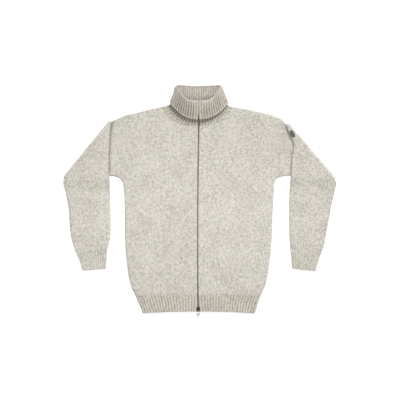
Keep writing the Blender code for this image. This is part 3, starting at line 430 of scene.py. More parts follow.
def make_wall(name, outer, inner, uv, marks=None, closed_round=False, sharp=55):
    """A wall between two equal grids of points; uv has one more column where rows close.

    Marks are named values for painted shade and highlight, each with a grid for either face.
    """
    rows, columns = outer.shape[:2]
    faces, corner_uv = [], []

    def add(corners, layers):
        index = [(layer * rows + row) * columns + column % columns
                 for (row, column), layer in zip(corners, layers)]
        faces.append(np.stack(index, axis=-1).reshape(-1, 4))
        spots = np.stack([row * uv.shape[1] + column for row, column in corners], axis=-1)
        corner_uv.append(uv.reshape(-1, 2)[spots.reshape(-1, 4)].reshape(-1, 4, 2))

    def add_rim(first, second):
        add([first, second, second, first], (0, 0, 1, 1))

    start, down = np.arange(columns if closed_round else columns - 1), np.arange(rows - 1)
    row, column = np.meshgrid(down, start, indexing="ij")
    around = [(row, column), (row, column + 1), (row + 1, column + 1), (row + 1, column)]
    add(around, (0, 0, 0, 0))
    add(around[::-1], (1, 1, 1, 1))
    for edge in (0, rows - 1):
        add_rim((start * 0 + edge, start), (start * 0 + edge, start + 1))
    if not closed_round:
        for edge in (0, columns - 1):
            add_rim((down, down * 0 + edge), (down + 1, down * 0 + edge))
    points = np.concatenate([outer.reshape(-1, 3), inner.reshape(-1, 3)])
    marks = {mark: np.concatenate([first.ravel(), second.ravel()])
             for mark, (first, second) in (marks or {}).items()}
    return finish_mesh(name, points, np.concatenate(faces).tolist(), np.concatenate(corner_uv),
                       marks, sharp)


def outer_valley(valley):
    return {"valley": (valley, valley * 0)}


def paired(u, v):
    return np.stack(np.broadcast_arrays(u, v), axis=2)


def rounded_rim(outer, inner, uv, valley):
    """The last rows drawn in and closed by a round edge, as a bound-off edge is."""
    along = (outer[-1] - outer[-2]) + (inner[-1] - inner[-2])
    along /= np.maximum(np.linalg.norm(along, axis=1), 1e-6)[:, None]
    half = (outer[-1] - inner[-1]) / 2
    out = along * np.linalg.norm(half, axis=1)[:, None]
    outer[-1] -= out
    inner[-1] -= out
    centre = (outer[-1] + inner[-1]) / 2
    last_uv, last_valley = uv[-1], valley[-1]
    for angle in BOUND_ANGLES:
        sine, cosine = sine_cosine(angle)
        outer = np.concatenate([outer, (centre + half * cosine + out * sine)[None]])
        inner = np.concatenate([inner, (centre - half * cosine + out * sine)[None]])
        step = np.array([0.0, WALL / 2 * math.radians(angle)])
        uv = np.concatenate([uv, (last_uv - step)[None]])
        valley = np.concatenate([valley, last_valley[None]])
    return outer, inner, uv, valley


# ------------------------------------------------------------------ front and back panels
Border = namedtuple("Border", "line kind")
OFFSETS = {"plain": [], "round": edge_offsets(EDGE_DEPTH, EDGE_ANGLES),
           "rim": edge_offsets(RIM_DEPTH, RIM_ANGLES)}
REACH = {kind: max(offsets, default=0.0) for kind, offsets in OFFSETS.items()}


def with_stops(line, start_kind, end_kind):
    """The line with points where the neighbours' rounded strips meet it."""
    places = lengths_along(line)
    total = places[-1]
    stops = OFFSETS[start_kind] + [total - offset for offset in OFFSETS[end_kind]]
    low, high = REACH[start_kind] + 1, total - REACH[end_kind] - 1
    kept = [place for place in places if low < place < high]
    return points_at(line, sorted([0.0, total] + stops + kept))


def nearest_on(points, line):
    """Distance of each point to a line, and the number of the nearest piece of the line."""
    best, which = np.full(len(points), np.inf), np.zeros(len(points), int)
    for number, (start, run) in enumerate(zip(line, np.diff(line, axis=0))):
        share = np.clip(((points - start) @ run) / max(run @ run, 1e-9), 0, 1)
        distance = np.linalg.norm(points - start - share[:, None] * run, axis=1)
        closer = distance < best - 1e-6
        best[closer], which[closer] = distance[closer], number
    return best, which


def inside_loop(points, loop):
    inside = np.zeros(len(points), bool)
    for (ax, ay), (bx, by) in zip(loop, np.roll(loop, -1, axis=0)):
        crosses = (ay > points[:, 1]) != (by > points[:, 1])
        if crosses.any():
            cut = ax + (points[:, 1] - ay) * (bx - ax) / (by - ay)
            inside ^= crosses & (points[:, 0] < cut)
    return inside


def plan_of_panel(borders):
    """Points of a panel's plan, the triangles between them and the loop round them."""
    following = borders[1:] + borders[:1]
    lines = [border.line if border.kind != "plain" else
             with_stops(border.line, borders[index - 1].kind, following[index].kind)
             for index, border in enumerate(borders)]
    loop = np.concatenate([line[:-1] for line in lines])
    after = np.roll(loop, -1, axis=0)
    turn = 1 if (loop[:, 0] * after[:, 1] - after[:, 0] * loop[:, 1]).sum() > 0 else -1
    plan, numbers = [], {}

    def number(point):
        key = (round(float(point[0]), 2), round(float(point[1]), 2))
        if key not in numbers:
            numbers[key] = len(plan)
            plan.append(key)
        return numbers[key]

    ring = [number(point) for point in loop]
    edges = list(zip(ring, ring[1:] + ring[:1]))
    for index, (border, line) in enumerate(zip(borders, lines)):
        normals = sideways(np.gradient(line, axis=0), turn)
        first, last = lines[index - 1][::-1], lines[(index + 1) % len(lines)]
        for step, depth in enumerate(OFFSETS[border.kind], start=1):
            middle = [number(spot) for spot in (line + normals * depth)[1:-1]]
            strip = [number(first[step]), *middle, number(last[step])]
            edges += [pair for pair in zip(strip, strip[1:]) if pair[0] != pair[1]]
    low, high = loop.min(axis=0), loop.max(axis=0)
    spots = []
    for row, y in enumerate(np.arange(low[1], high[1], SPACING * ROW_SHARE)):
        xs = np.arange(low[0] + (row % 2) * SPACING / 2, high[0], SPACING)
        spots.append(np.column_stack([xs, np.full(len(xs), y)]))
    spots = np.concatenate(spots)
    spots = spots[inside_loop(spots, loop)]
    for border, line in zip(borders, lines):
        spots = spots[nearest_on(spots, line)[0] > REACH[border.kind] + SPACING / 2]
    for spot in spots:
        number(spot)
    result = delaunay_2d_cdt([Vector(point) for point in plan], edges, [], 1, 1e-4)
    origins = [source[0] for source in result[3]]
    triangles = np.array([[origins[corner] for corner in face] for face in result[2]])
    return np.array(plan), triangles, np.array(ring), lines, turn


def make_panel(name, borders, face):
    plan, triangles, ring, lines, turn = plan_of_panel(borders)
    count = len(plan)
    depth, rim = np.full(count, EDGE_DEPTH), np.full(count, RIM_DEPTH)
    inward = np.zeros((count, 2))
    for border, line in zip(borders, lines):
        distance, which = nearest_on(plan, line)
        if border.kind == "rim":
            rim = np.minimum(rim, distance)
        elif border.kind == "round":
            closer = distance < depth
            normals = sideways(np.diff(line, axis=0)[which], turn)
            depth[closer], inward[closer] = distance[closer], normals[closer]
    full = fullness(depth, EDGE_DEPTH)
    lift = body_lift(plan[:, 0], plan[:, 1]) * full if face > 0 else 0.0
    high, low = layer_heights(face, full, lift)
    half = (high - low) / 2 * np.maximum(fullness(rim, RIM_DEPTH), RIM_LEAST)
    outer = np.column_stack([plan, (high + low) / 2 + half])
    inner_plan = plan + inward * inner_shift(depth, EDGE_DEPTH)[:, None]
    inner = np.column_stack([inner_plan, (high + low) / 2 - half])
    after = np.roll(ring, -1)
    quads = np.column_stack([ring, after, after + count, ring + count])
    faces = triangles.tolist() + (triangles[:, ::-1] + count).tolist() + quads.tolist()
    corner_uv = [plan[part % count].reshape(-1, 2)
                 for part in (triangles, triangles[:, ::-1], quads)]
    return finish_mesh(name, np.concatenate([outer, inner]), faces, np.concatenate(corner_uv))


# ------------------------------------------------------------------ collar
def collar_points(row, turns):
    """Middle of the cloth on a ring and its outward direction; turn 0 is the front, 90 the left."""
    sine, cosine = sine_cosine(turns)
    across = np.sign(sine) * np.abs(sine) ** COLLAR_PLAN_POWER
    up = np.sign(cosine) * np.abs(cosine) ** row.power
    share = np.maximum(0.0, 1 - np.abs(across) ** row.bend) ** row.dip
    front = np.where(cosine > 0, (row.front_y - row.side_y) * share, 0.0)
    behind = np.maximum(-cosine, 0)
    back = (row.back_y - row.side_y) * behind ** COLLAR_BACK_CURVE - COLLAR_BACK_DIP * behind ** 4
    half_height = (row.z_front - row.z_back) / 2
    points = np.column_stack([row.centre_x + row.half_width * across, row.side_y + front + back,
                              (row.z_front + row.z_back) / 2 + half_height * up])
    return points, unit(np.column_stack([across / row.half_width, 0 * up, up / half_height]))


def neck_line(side, from_turn, to_turn, steps):
    turns = side * np.linspace(from_turn, to_turn, steps + 1)
    points, outward = collar_points(STAND_ROWS[0], turns)
    sine, cosine = sine_cosine(turns)
    reach = NECK_CLEARANCE + np.abs(outward[:, :1]) * WALL / 2
    return points[:, :2] + np.column_stack([sine, -np.abs(cosine)]) * reach


def collar_ring(row, gap, shares):
    """Points and outward directions at shares of a ring's length, from the zip round to it."""
    start = math.degrees(gap / row.half_width) + GAP_TURN
    turns = np.linspace(start, 360 - start, RING_SAMPLES)
    lengths = lengths_along(collar_points(row, turns)[0])
    turns = np.interp(shares, lengths / lengths[-1], turns)
    points, outward = collar_points(row, turns)
    nearness = np.maximum(0.0, sine_cosine(turns)[1]) ** COLLAR_CENTRING
    points[:, 0] += (zip_x(row.front_y) - row.centre_x) * nearness
    return points, outward


def make_collar():
    """A ribbed strip that stands up from the neck, rolls over and hangs down outside."""
    places = np.arange(COLLAR_RIBS * RIB_STEPS + 1) / RIB_STEPS
    shares = places / COLLAR_RIBS
    cut = 1 - rib_height(places)
    stand = [CollarRow(*row) for row in spline(STAND_ROWS, COLLAR_STEPS)]
    turned = [CollarRow(*row) for row in spline(TURNED_ROWS, COLLAR_STEPS)]
    gaps = spline([(gap,) for gap in TURNED_GAPS], COLLAR_STEPS)[:, 0]
    stand_rings = [collar_ring(row, STAND_GAP, shares) for row in stand]
    turned_rings = [collar_ring(row, gap, shares) for row, gap in zip(turned, gaps)]
    ridge = WALL / 2 + RIB_DEPTH * RIDGE_SHARE
    flat = 0 * places
    visible, hidden, marks = [], [], []

    # A mark gives each face a valley, painted shade from 0 to 1, and a paleness, from the collar's
    # darkened wool to the body's
    def mark(valley, paleness, hidden_valley=flat, hidden_paleness=0.0):
        marks.append((valley, flat + paleness, hidden_valley, flat + hidden_paleness))

    for number, (points, outward) in enumerate(stand_rings):
        up = number / COLLAR_STEPS
        foot, free, tucked = ramp(up, *FOOT), 1 - ramp(up, *COVERED), ramp(up, *TUCKED)
        outer_ribs = free * between(FOOT_RIBS, 1, foot)
        inside = ridge - RIB_DEPTH * cut * foot
        outside = WALL / 2 + RIB_DEPTH * (RIDGE_SHARE - cut) * outer_ribs
        visible.append(points - outward * inside[:, None])
        hidden.append(points + outward * outside[:, None])
        # Painted shadow of the turned layer on the stand's outside: valleys darken more, and ridges
        # too, just under the free edge
        valley = between(cut * between(OPEN_VALLEY, 1, tucked), tucked, UNDER_EDGE_SHADOW)
        mark(cut * foot * np.abs(outward[:, 2]) * INSIDE_VALLEY, INSIDE_PALE,
             valley * free, 1 - TUCKED_SHADE * tucked)
    (top, out_top), over = stand_rings[-1], turned_rings[0][0]
    centre, radius = (top + over) / 2, np.linalg.norm(over - top, axis=1)[:, None] / 2
    for angle in ROLL_ANGLES:
        sine, cosine = sine_cosine(angle)
        out = unit(np.column_stack([-out_top[:, 0] * cosine, flat + sine, -out_top[:, 2] * cosine]))
        past = sine if cosine > 0 else 1
        open_rib = 1 - ROLL_OPENING * past
        visible.append(centre + out * (radius + (ridge - RIB_DEPTH * cut * open_rib)[:, None]))
        hidden.append(centre + out * np.maximum(radius - WALL / 2, ROLL_LEAST_RADIUS))
        # Over the roll the wool turns paler towards the lip: painted highlight
        mark(cut * open_rib, between(INSIDE_PALE, LIP_HIGHLIGHT, past))
    for number, (points, outward) in enumerate(turned_rings):
        left = 1 - number / (len(turned_rings) - 1)
        from_zip = points[:, 0] - zip_x(COLLAR_FRONT_Y)
        nearness = np.exp(-(from_zip / CALM_WIDTH) ** 2) * (outward[:, 2] > 0)
        calm = (1 - CALM_SHARE * nearness) * (1 - LEFT_CALM * ramp(from_zip, 0, LEFT_RUN))
        calm *= 1 - SIDE_CALM * ramp(np.abs(from_zip) / turned[number].half_width, *SIDE_RUN)
        # The plain bound-off strip is pale and the lip paler: painted highlight; the rib valleys
        # get painted shade
        bound, lip = ramp(left, 0, BOUND_EDGE), left ** LIP_FADE
        rib = cut * bound * (1 - ROLL_OPENING * lip) * calm
        visible.append(points + outward * (ridge - RIB_DEPTH * rib)[:, None])
        hidden.append(points - outward * WALL / 2)
        mark(rib, 1 - bound + LIP_HIGHLIGHT * lip)
    visible, hidden, marks = np.array(visible), np.array(hidden), np.moveaxis(marks, 1, 2)
    visible[:, :, 2] = np.maximum(visible[:, :, 2], 0.0)
    along = lengths_along((visible + hidden)[:, len(places) // 4] / 2)
    uv = paired(places * RIB_PITCH, -along[:, None])
    visible, hidden, uv, marks = rounded_rim(visible, hidden, uv, marks)
    return make_wall("knit_collar", visible, hidden, uv,
                     {"valley": (marks[:, :, 0], marks[:, :, 2]),
                      "pale": (marks[:, :, 1], marks[:, :, 3])})


# ------------------------------------------------------------------ body
def flank(side, neck_end):
    """Borders up one side of a panel: its side, its armhole and its shoulder."""
    start = STUB[side][0]
    under, over = (start.under_x, start.under_y), (start.over_x, start.over_y)
    ys = np.linspace(HEM_TOP + SEAM / 4, start.under_y, LINE_SAMPLES["side"])
    share = np.linspace(0, 1, LINE_SAMPLES["shoulder"])[:, None]
    shoulder = between(np.array(over), np.array(neck_end), share)
    shoulder[:, 1:] += SHOULDER_BOW * np.sin(math.pi * share)
    return [Border(spaced(np.column_stack([side_x(side, ys), ys])), "round"),
            Border(spaced(np.array([under, over], float)), "plain"),
            Border(spaced(shoulder), "round")]


def front_borders(side):
    neck = neck_line(side, 90, NECK_END_TURN, LINE_SAMPLES["neck"])
    neck[-1, 0] = front_edge(side, neck[-1, 1])
    neck = spaced(neck)
    ys = np.linspace(neck[-1, 1], HEM_TOP + SEAM / 4, LINE_SAMPLES["zip"])
    zip_line = np.column_stack([front_edge(side, ys), ys])
    borders = flank(side, neck[0])
    hem = spaced(np.array([zip_line[-1], borders[0].line[0]]))
    return [Border(hem, "plain"), *borders, Border(neck, "plain"), Border(zip_line, "rim")]


def back_borders():
    necks = {side: neck_line(side, 90, 180, LINE_SAMPLES["back_neck"]) for side in (RIGHT, LEFT)}
    neck = spaced(np.concatenate([necks[LEFT][:-1], necks[RIGHT][::-1]]))
    left, right = flank(LEFT, neck[0]), flank(RIGHT, neck[-1])
    hem = spaced(np.array([right[0].line[0], left[0].line[0]]))
    return [Border(hem, "plain"), *left, Border(neck, "plain"),
            *(Border(line[::-1], kind) for line, kind in right[::-1])]


def hem_grid(side, middle_of, face):
    """Outer and inner points of a hem from its middle edge to one side, its UVs and valleys."""
    reference = abs(side_x(side, HEM_BOTTOM) - middle_of(side, HEM_BOTTOM))
    ribs = max(1, round((reference - EDGE_DEPTH * HEM_MARGIN) / RIB_PITCH))
    place = np.arange(ribs * RIB_STEPS + 1) / RIB_STEPS
    share, down = place[None, :] / ribs, np.linspace(0, 1, HEM_ROW_COUNT)[:, None]
    joint = HEM_TOP - SEAM / 4
    y = between(joint, HEM_BOTTOM - HEM_CORNER_DROP * share ** 2, down)
    end = side_x(side, y)
    x = between(middle_of(side, y), end, share)
    depth = np.minimum(np.abs(end - x), EDGE_DEPTH)
    full, start = fullness(depth, EDGE_DEPTH), ramp(down, 0, HEM_START)
    valley = (1 - rib_height(place)) * start
    lift = body_lift(x, y) * full * (1 - HEM_CALM * down) if face > 0 else 0.0
    peak = HEM_PEAK * start if face > 0 else 0.0
    peak = peak - RIB_DEPTH * valley * between(HEM_SIDE_RIBS, 1, full)
    high, low = layer_heights(face, full, lift, peak)
    outer = np.stack([x, y, high], axis=2)
    inner = np.stack([x - side * inner_shift(depth, EDGE_DEPTH), y, low], axis=2)
    return outer, inner, paired(side * place * RIB_PITCH, y), valley


def make_front_hem(side):
    grids = rounded_rim(*hem_grid(side, front_edge, 1))
    turned = rounded_rim(*(np.swapaxes(grid, 0, 1)[::-1].copy() for grid in grids))
    outer, inner, uv, valley = (np.swapaxes(grid[::-1], 0, 1) for grid in turned)
    return make_wall(f"knit_hem_front_{SIDE_NAMES[side]}", outer, inner, uv, outer_valley(valley))


def back_middle(_side, y):
    """The back's halves meet on one straight line, whichever side is asked for."""
    return zip_x(HEM_TOP) + 0 * np.asarray(y)


def make_back_hem():
    halves = zip(hem_grid(RIGHT, back_middle, -1), hem_grid(LEFT, back_middle, -1))
    grids = [np.concatenate([right[:, ::-1], left[:, 1:]], axis=1) for right, left in halves]
    outer, inner, uv, valley = rounded_rim(*grids)
    return make_wall("knit_hem_back", outer, inner, uv, outer_valley(valley))


# ------------------------------------------------------------------ sleeves
def tube_profile(length, depth, count_top, ribs=0):
    """Round a flat tube: along, outer height, inner along, inner height and valley."""
    ends = np.array([0.0] + edge_offsets(depth, EDGE_ANGLES))
    flat = np.linspace(0, 1, (ribs * RIB_STEPS or count_top) + 1)[1:-1]
    along = np.concatenate([ends, depth + (length - 2 * depth) * flat, length - ends[::-1]])
    edge = np.minimum(along, length - along)
    full = fullness(edge, depth)
    valley = np.zeros(len(along))
    if ribs:
        reach = (along - depth) / (length - 2 * depth) * ribs
        valley = (1 - rib_height(reach)) * np.clip(edge / depth, CUFF_SIDE_RIBS, 1)
    shift = inner_shift(edge, depth) * np.where(along < length / 2, 1, -1)
    top = np.column_stack([along, MIDDLE * full - RIB_DEPTH * valley, along + shift,
                           (MIDDLE - WALL) * full, valley])
    return np.concatenate([top, top[::-1][1:-1] * np.array([1, -1, 1, -1, 1])])


def section_length(section):
    return math.hypot(section.under_x - section.over_x, section.under_y - section.over_y)


def fold_axis(side):
    """The line round which the sleeve folds, and the way out from it."""
    line = FOLD_OUTLINE[side]
    run = Vector((line.under_x - line.over_x, line.under_y - line.over_y, 0)).normalized()
    outward = Vector((-side * run.y, side * run.x, 0))
    if outward.x * side < 0:
        outward = -outward
    x, y, _ = -outward * (FOLD_RADIUS + MIDDLE)
    return Section(line.over_x + x, line.over_y + y, line.under_x + x, line.under_y + y), outward


def sleeve_sections(side):
    """Section, centre offset, up direction, whether it settles and how free its cloth is."""
    axis, outward = fold_axis(side)
    start, clear, up = STUB[side][0], SEAM / 2 * side, Vector((0, 0, 1))
    rows = [start._replace(over_x=start.over_x + clear, under_x=start.under_x + clear)]
    curve = spline(rows + STUB[side][1:] + [axis], STUB_STEPS)[:-1]
    sections = [(Section(*row), up * MIDDLE, up, False, 1 - number / len(curve))
                for number, row in enumerate(curve)]
    for step in range(FOLD_STEPS + 1):
        reach, rise = sine_cosine(180 * step / FOLD_STEPS)
        centre = outward * FOLD_RADIUS * reach + up * (MIDDLE + FOLD_RADIUS * (1 - rise))
        sections.append((axis, centre, -outward * reach + up * rise, False, 0.0))
    lower = spline([axis] + LOWER[side], LOWER_STEPS)[1:]
    for number, row in enumerate(lower):
        free = min(1.0, (number + 1) / LOOSE_AFTER, (len(lower) - number - 1) / LOOSE_BEFORE)
        sections.append((Section(*row), up * (MIDDLE + STACK), -up, True, free))
    last = sections[-1][0]
    last = last._replace(over_y=last.over_y + SEAM / 2, under_y=last.under_y + SEAM / 2)
    sections[-1] = (last, *sections[-1][1:])
    return sections


def place_section(section, profile, centre, up, sinks=False):
    """Outer and inner ring of one section of a tube."""
    over = np.array([section.over_x, section.over_y, 0.0])
    along = np.array([section.under_x, section.under_y, 0.0]) - over
    along /= np.linalg.norm(along)
    rings = []
    for distance, height in ((profile[:, 0], profile[:, 1]), (profile[:, 2], profile[:, 3])):
        ring = over + along * distance[:, None] + np.array(centre) + np.array(up) * height[:, None]
        if sinks:
            ring[:, 2] -= STACK * ramp(ring[:, 1], *SETTLES)
        rings.append(ring)
    return rings


def tube_wall(name, placed, profiles, closed_end=False):
    outer, inner = (np.array(rings) for rings in zip(*placed))
    along = lengths_along(outer.mean(axis=1))
    girth = np.linalg.norm(np.roll(outer, -1, axis=1) - outer, axis=2)
    around = np.concatenate([np.zeros((len(outer), 1)), np.cumsum(girth, axis=1)], axis=1)
    uv = paired(around - around[:, -1:] / 4, -along[:, None])
    valley = np.array([profile[:, 4] for profile in profiles])
    if closed_end:
        wide = np.concatenate([valley, valley[:, :1]], axis=1)
        outer, inner, uv, wide = rounded_rim(outer, inner, uv, wide)
        valley = wide[:, :-1]
    return make_wall(name, outer, inner, uv, outer_valley(valley), closed_round=True)


def fold_shadow(profile, section):
    """Painted shadow on the crossed-over part along its inner edge, where it meets the upper arm:
    how dark it lies.
    """
    return ramp(section.over_y, *FOLD_LINE_STARTS) * ramp(profile[:, 0], FOLD_LINE_WIDTH, 0)


def upper_arm_shadows(profile, ring):
    """Painted shadow on the upper arm beside the crossed-over part, and painted shade along its own
    lower edge.
    """
    xs, ys = zip(*CONTACT)
    from_edge = np.abs(ring[:, 0] - np.interp(ring[:, 1], ys, xs))
    faded = 1 - CONTACT_FADE * ramp(ring[:, 1], *CONTACT_FADES)
    contact = ramp(from_edge, CONTACT_WIDTH, 0) * faded
    under = UNDER_LINE * ramp(profile[:, 0].max() - profile[:, 0], UNDER_LINE_WIDTH, 0)
    return np.maximum(under, contact)


def make_sleeve(side):
    sections = sleeve_sections(side)
    count = round(max(section_length(row[0]) for row in sections) / TUBE_SPACING)
    placed, profiles = [], []
    for section, centre, up, sinks, free in sections:
        profile = tube_profile(section_length(section), EDGE_DEPTH, count)
        rings = place_section(section, profile, centre, up, sinks)
        if free > 0:
            creases = SLEEVE_CREASES if sinks else BODY_CREASES
            seed = SLEEVE_SEED + side if sinks else BODY_SEED
            upward = np.clip(profile[:, 1] * up.z / MIDDLE, 0, 1) ** 0.5
            lift = swell(creases, rings[0][:, 0], rings[0][:, 1], seed) * upward * free
            for ring in rings:
                ring[:, 2] += lift
        # Painted shadow lines, on the right sleeve only
        if side == RIGHT:
            profile[:, 4] = (fold_shadow(profile, section) if sinks
                             else upper_arm_shadows(profile, rings[0]))
        placed.append(rings)
        profiles.append(profile)
    return tube_wall(f"knit_sleeve_{SIDE_NAMES[side]}", placed, profiles)


def make_cuff(side):
    widest = section_length(CUFF[side][0])
    ribs = round((widest - 2 * CUFF_EDGE_DEPTH) / RIB_PITCH / CUFF_WIDENING)
    up = Vector((0, 0, 1))
    placed, profiles = [], []
    for number, row in enumerate(spline(CUFF[side], CUFF_STEPS)):
        section = Section(*row)
        profile = tube_profile(section_length(section), CUFF_EDGE_DEPTH, 0, ribs)
        start = ramp(number, 0, CUFF_START)
        profile[:, 1] += np.sign(profile[:, 1]) * RIB_DEPTH * profile[:, 4] * (1 - start)
        profile[:, 4] *= start
        placed.append(place_section(section, profile, up * MIDDLE, up))
        profiles.append(profile)
    return tube_wall(f"knit_cuff_{SIDE_NAMES[side]}", placed, profiles, closed_end=True)


# ------------------------------------------------------------------ zip
def join_shells(name, shells, sharp=40):
    """One piece from several closed shells of points and faces."""
    points, faces = [], []
    for shell_points, shell_faces in shells:
        start = len(points)
        points += [tuple(point) for point in shell_points]
        faces += [tuple(start + corner for corner in face) for face in shell_faces]
    return finish_mesh(name, points, faces, sharp=sharp)


def grid_faces(rows, columns, count):
    """Four-sided faces of a grid of `count` rows whose rows close on themselves."""
    faces = []
    for row in range(rows):
        here, there = row * columns, (row + 1) % count * columns
        for column in range(columns):
            after = (column + 1) % columns
            faces.append((here + column, here + after, there + after, there + column))
    return faces


def loft(rings):
    """Points and faces of a closed body through equal rings, with flat ends."""
    rows, columns = len(rings), len(rings[0])
    ends = [tuple(range(columns)), tuple(range((rows - 1) * columns, rows * columns))]
    return np.concatenate(rings), ends + grid_faces(rows - 1, columns, rows)


UNDERSIDE = LAY_HEIGHT - WALL - SEAM
TAPE_CLEARANCE = 0.6            # under the cloth of the collar
TAPE_END_CUT = 4.0              # the tape ends this much below the roll
ZIP_PATH = [(y, UNDERSIDE) for y in (TAPE_END_Y, -330.0, -200.0, 0.0, 150.0, 240.0)]
ZIP_PATH += [(row.front_y, row.z_front - WALL / 2 - TAPE_CLEARANCE) for row in STAND_ROWS]
ZIP_PATH[-1] = (ZIP_PATH[-1][0] - TAPE_END_CUT, ZIP_PATH[-1][1] - TAPE_CLEARANCE)
ZIP_PATH = np.array(ZIP_PATH, float)    # y and z of the tape's top, from the hem up the collar
ZIP_PLACES = lengths_along(ZIP_PATH)


def with_normals(path):
    return zip(path, sideways(np.gradient(path, axis=0)))


def make_tape(side):
    rings = []
    path = points_at(ZIP_PATH, np.linspace(0, ZIP_PLACES[-1], TAPE_STEPS))
    for (y, z), (normal_y, normal_z) in with_normals(path):
        opening = ramp(y, SLIDER_TOP_Y, SLIDER_TOP_Y - TAPE_OPENS_IN)
        near = zip_x(y) + side * between(TAPE_GAP, TAPE_GAP_OPEN, opening)
        far = zip_x(y) + side * (TAPE_GAP + TAPE_WIDTH)
        corners = ((near, 0.0), (far, 0.0), (far, TAPE_THICKNESS), (near, TAPE_THICKNESS))
        rings.append([(x, y - normal_y * depth, z - normal_z * depth) for x, depth in corners])
    return join_shells(f"woven_tape_{SIDE_NAMES[side]}", [loft(rings)])


def make_teeth():
    """Interlocking teeth, each a small block with a narrowed top."""
    start = float(np.interp(SLIDER_TOP_Y - TEETH_START, ZIP_PATH[:, 0], ZIP_PLACES))
    path = points_at(ZIP_PATH, np.arange(start, ZIP_PLACES[-1] - TEETH_END, TOOTH_PITCH / 2))
    shells = []
    for number, ((y, z), (normal_y, normal_z)) in enumerate(with_normals(path)):
        side = RIGHT if number % 2 else LEFT
        rings = []
        for rise, spread, drawn_in in TOOTH_LAYERS:
            outer_x = zip_x(y) + side * (TOOTH_REACH[0] - drawn_in)
            inner_x = zip_x(y) + side * (TOOTH_REACH[1] + drawn_in)
            wide = TOOTH_THICKNESS / 2 * spread
            slim = wide * TOOTH_TAPER
            corners = ((outer_x, -wide), (outer_x, wide), (inner_x, slim), (inner_x, -slim))
            rings.append([(x, y + normal_y * rise + normal_z * along,
                           z + normal_z * rise - normal_y * along) for x, along in corners])
        shells.append(loft(rings))
    return join_shells("zip_teeth", shells, sharp=30)


def smooth_outline(half_outline, steps=5):
    """A closed outline from one half of it."""
    curve = spline(half_outline, steps)
    curve[:, 0] = np.maximum(curve[:, 0], 0.0)
    return np.concatenate([curve, (curve[::-1] * np.array([-1, 1]))[1:-1]])


def plate(half_outline, layers):
    """A plate of the slider through layers of one outline, each scaled about its middle."""
    outline = smooth_outline(half_outline)
    centre = np.array([0.0, outline[:, 1].mean()])
    rings = []
    for height, scale in layers:
        x, y = (centre + (outline - centre) * scale).T
        rings.append(np.column_stack([x + zip_x(PULL_PIVOT_Y), y, 0 * x + height]))
    return loft(rings)


def make_slider():
    shells = [plate(SLIDER_OUTLINE, SLIDER_FLOOR), plate(SLIDER_OUTLINE, SLIDER_ROOF),
              plate(DIVIDER_OUTLINE, DIVIDER)]
    rings = []
    for (y, z), (normal_y, normal_z) in with_normals(spline(BAIL, 5)):
        ring = []
        for turn in range(BAIL_SIDES):
            sine, cosine = (math.copysign(abs(value) ** BAIL_ROUNDNESS, value)
                            for value in sine_cosine(360 * (turn + 0.5) / BAIL_SIDES))
            rise = BAIL_HALF_THICKNESS * sine
            ring.append((zip_x(PULL_PIVOT_Y) + BAIL_HALF_WIDTH * cosine, y + normal_y * rise,
                         z + normal_z * rise))
        rings.append(ring)
    return join_shells("zip_slider_body", shells + [loft(rings)])


def make_pull():
    """A flat tab with one long hole, whose end bar turns in the slider's bridge."""
    sine, cosine = sine_cosine(PULL_REST_TILT)
    half = PULL_HALF_THICKNESS
    heights = ((-half, PULL_BEVEL), (-half + PULL_BEVEL, 0.0), (half - PULL_BEVEL, 0.0),
               (half, PULL_BEVEL))
    layers = []
    for half_outline, sign in ((PULL_OUTLINE, 1), (PULL_HOLE, -1)):
        outline = smooth_outline(half_outline, 6)
        closed = np.concatenate([outline, outline[:1]])
        places = np.linspace(0, lengths_along(closed)[-1], PULL_POINTS + 1)[:-1]
        edge = points_at(closed, places)
        inward = unit(np.array([0.0, PULL_MIDDLE]) - edge)
        for height, inset in heights[::sign]:
            across, along = (edge + inward * inset * sign).T
            layers.append(np.column_stack([zip_x(PULL_PIVOT_Y) + across,
                                           PULL_PIVOT_Y - along * cosine - height * sine,
                                           PULL_PIVOT_Z - along * sine + height * cosine]))
    faces = grid_faces(len(layers), PULL_POINTS, len(layers))
    return join_shells("pull_tab", [(np.concatenate(layers), faces)])


def make_patch(sleeve):
    """A plain patch laid on the sleeve: its points come from the sleeve's surface, moved out."""
    tree = BVHTree.FromPolygons([vertex.co for vertex in sleeve.data.vertices],
                                [face.vertices for face in sleeve.data.polygons])
    sine, cosine = sine_cosine(PATCH_TURN)
    outer, inner = (np.zeros((PATCH_STEPS[1], PATCH_STEPS[0], 3)) for _ in range(2))
    for row, along in enumerate(np.linspace(0.5, -0.5, PATCH_STEPS[1])):
        half_width = PATCH_SIZE[0] / 2 * (1 - PATCH_NARROWING * abs(2 * along) ** 3)
        for column, across in enumerate(np.linspace(-half_width, half_width, PATCH_STEPS[0])):
            x = PATCH_MIDDLE[0] + across * cosine - along * PATCH_SIZE[1] * sine
            y = PATCH_MIDDLE[1] + across * sine + along * PATCH_SIZE[1] * cosine
            start = Vector(((x + CENTRING[0]) * MM, (y + CENTRING[1]) * MM, 1.0))
            place, normal, _, _ = tree.ray_cast(start, Vector((0, 0, -1)))
            for grid, lift in ((outer, PATCH_THICKNESS), (inner, 0.0)):
                spot = place / MM + normal * (SEAM + lift)
                grid[row, column] = (spot.x - CENTRING[0], spot.y - CENTRING[1], spot.z)
    return make_wall("woven_patch", outer, inner, outer[:, :, :2], sharp=40)


# ------------------------------------------------------------------ materials
def operation(kind, turned=False):
    def apply(term, other):
        return term.shader.math(kind, *((other, term) if turned else (term, other)))
    return apply


class Term:
    """An output in a material's node tree; signs between terms make the nodes."""

    def __init__(self, shader, socket):
        self.shader, self.socket = shader, socket

    def of(self, kind, *values):
        return self.shader.math(kind, self, *values)

    __add__, __sub__ = operation("ADD"), operation("SUBTRACT")
    __mul__, __truediv__, __pow__ = operation("MULTIPLY"), operation("DIVIDE"), operation("POWER")
    __radd__, __rsub__ = operation("ADD", True), operation("SUBTRACT", True)


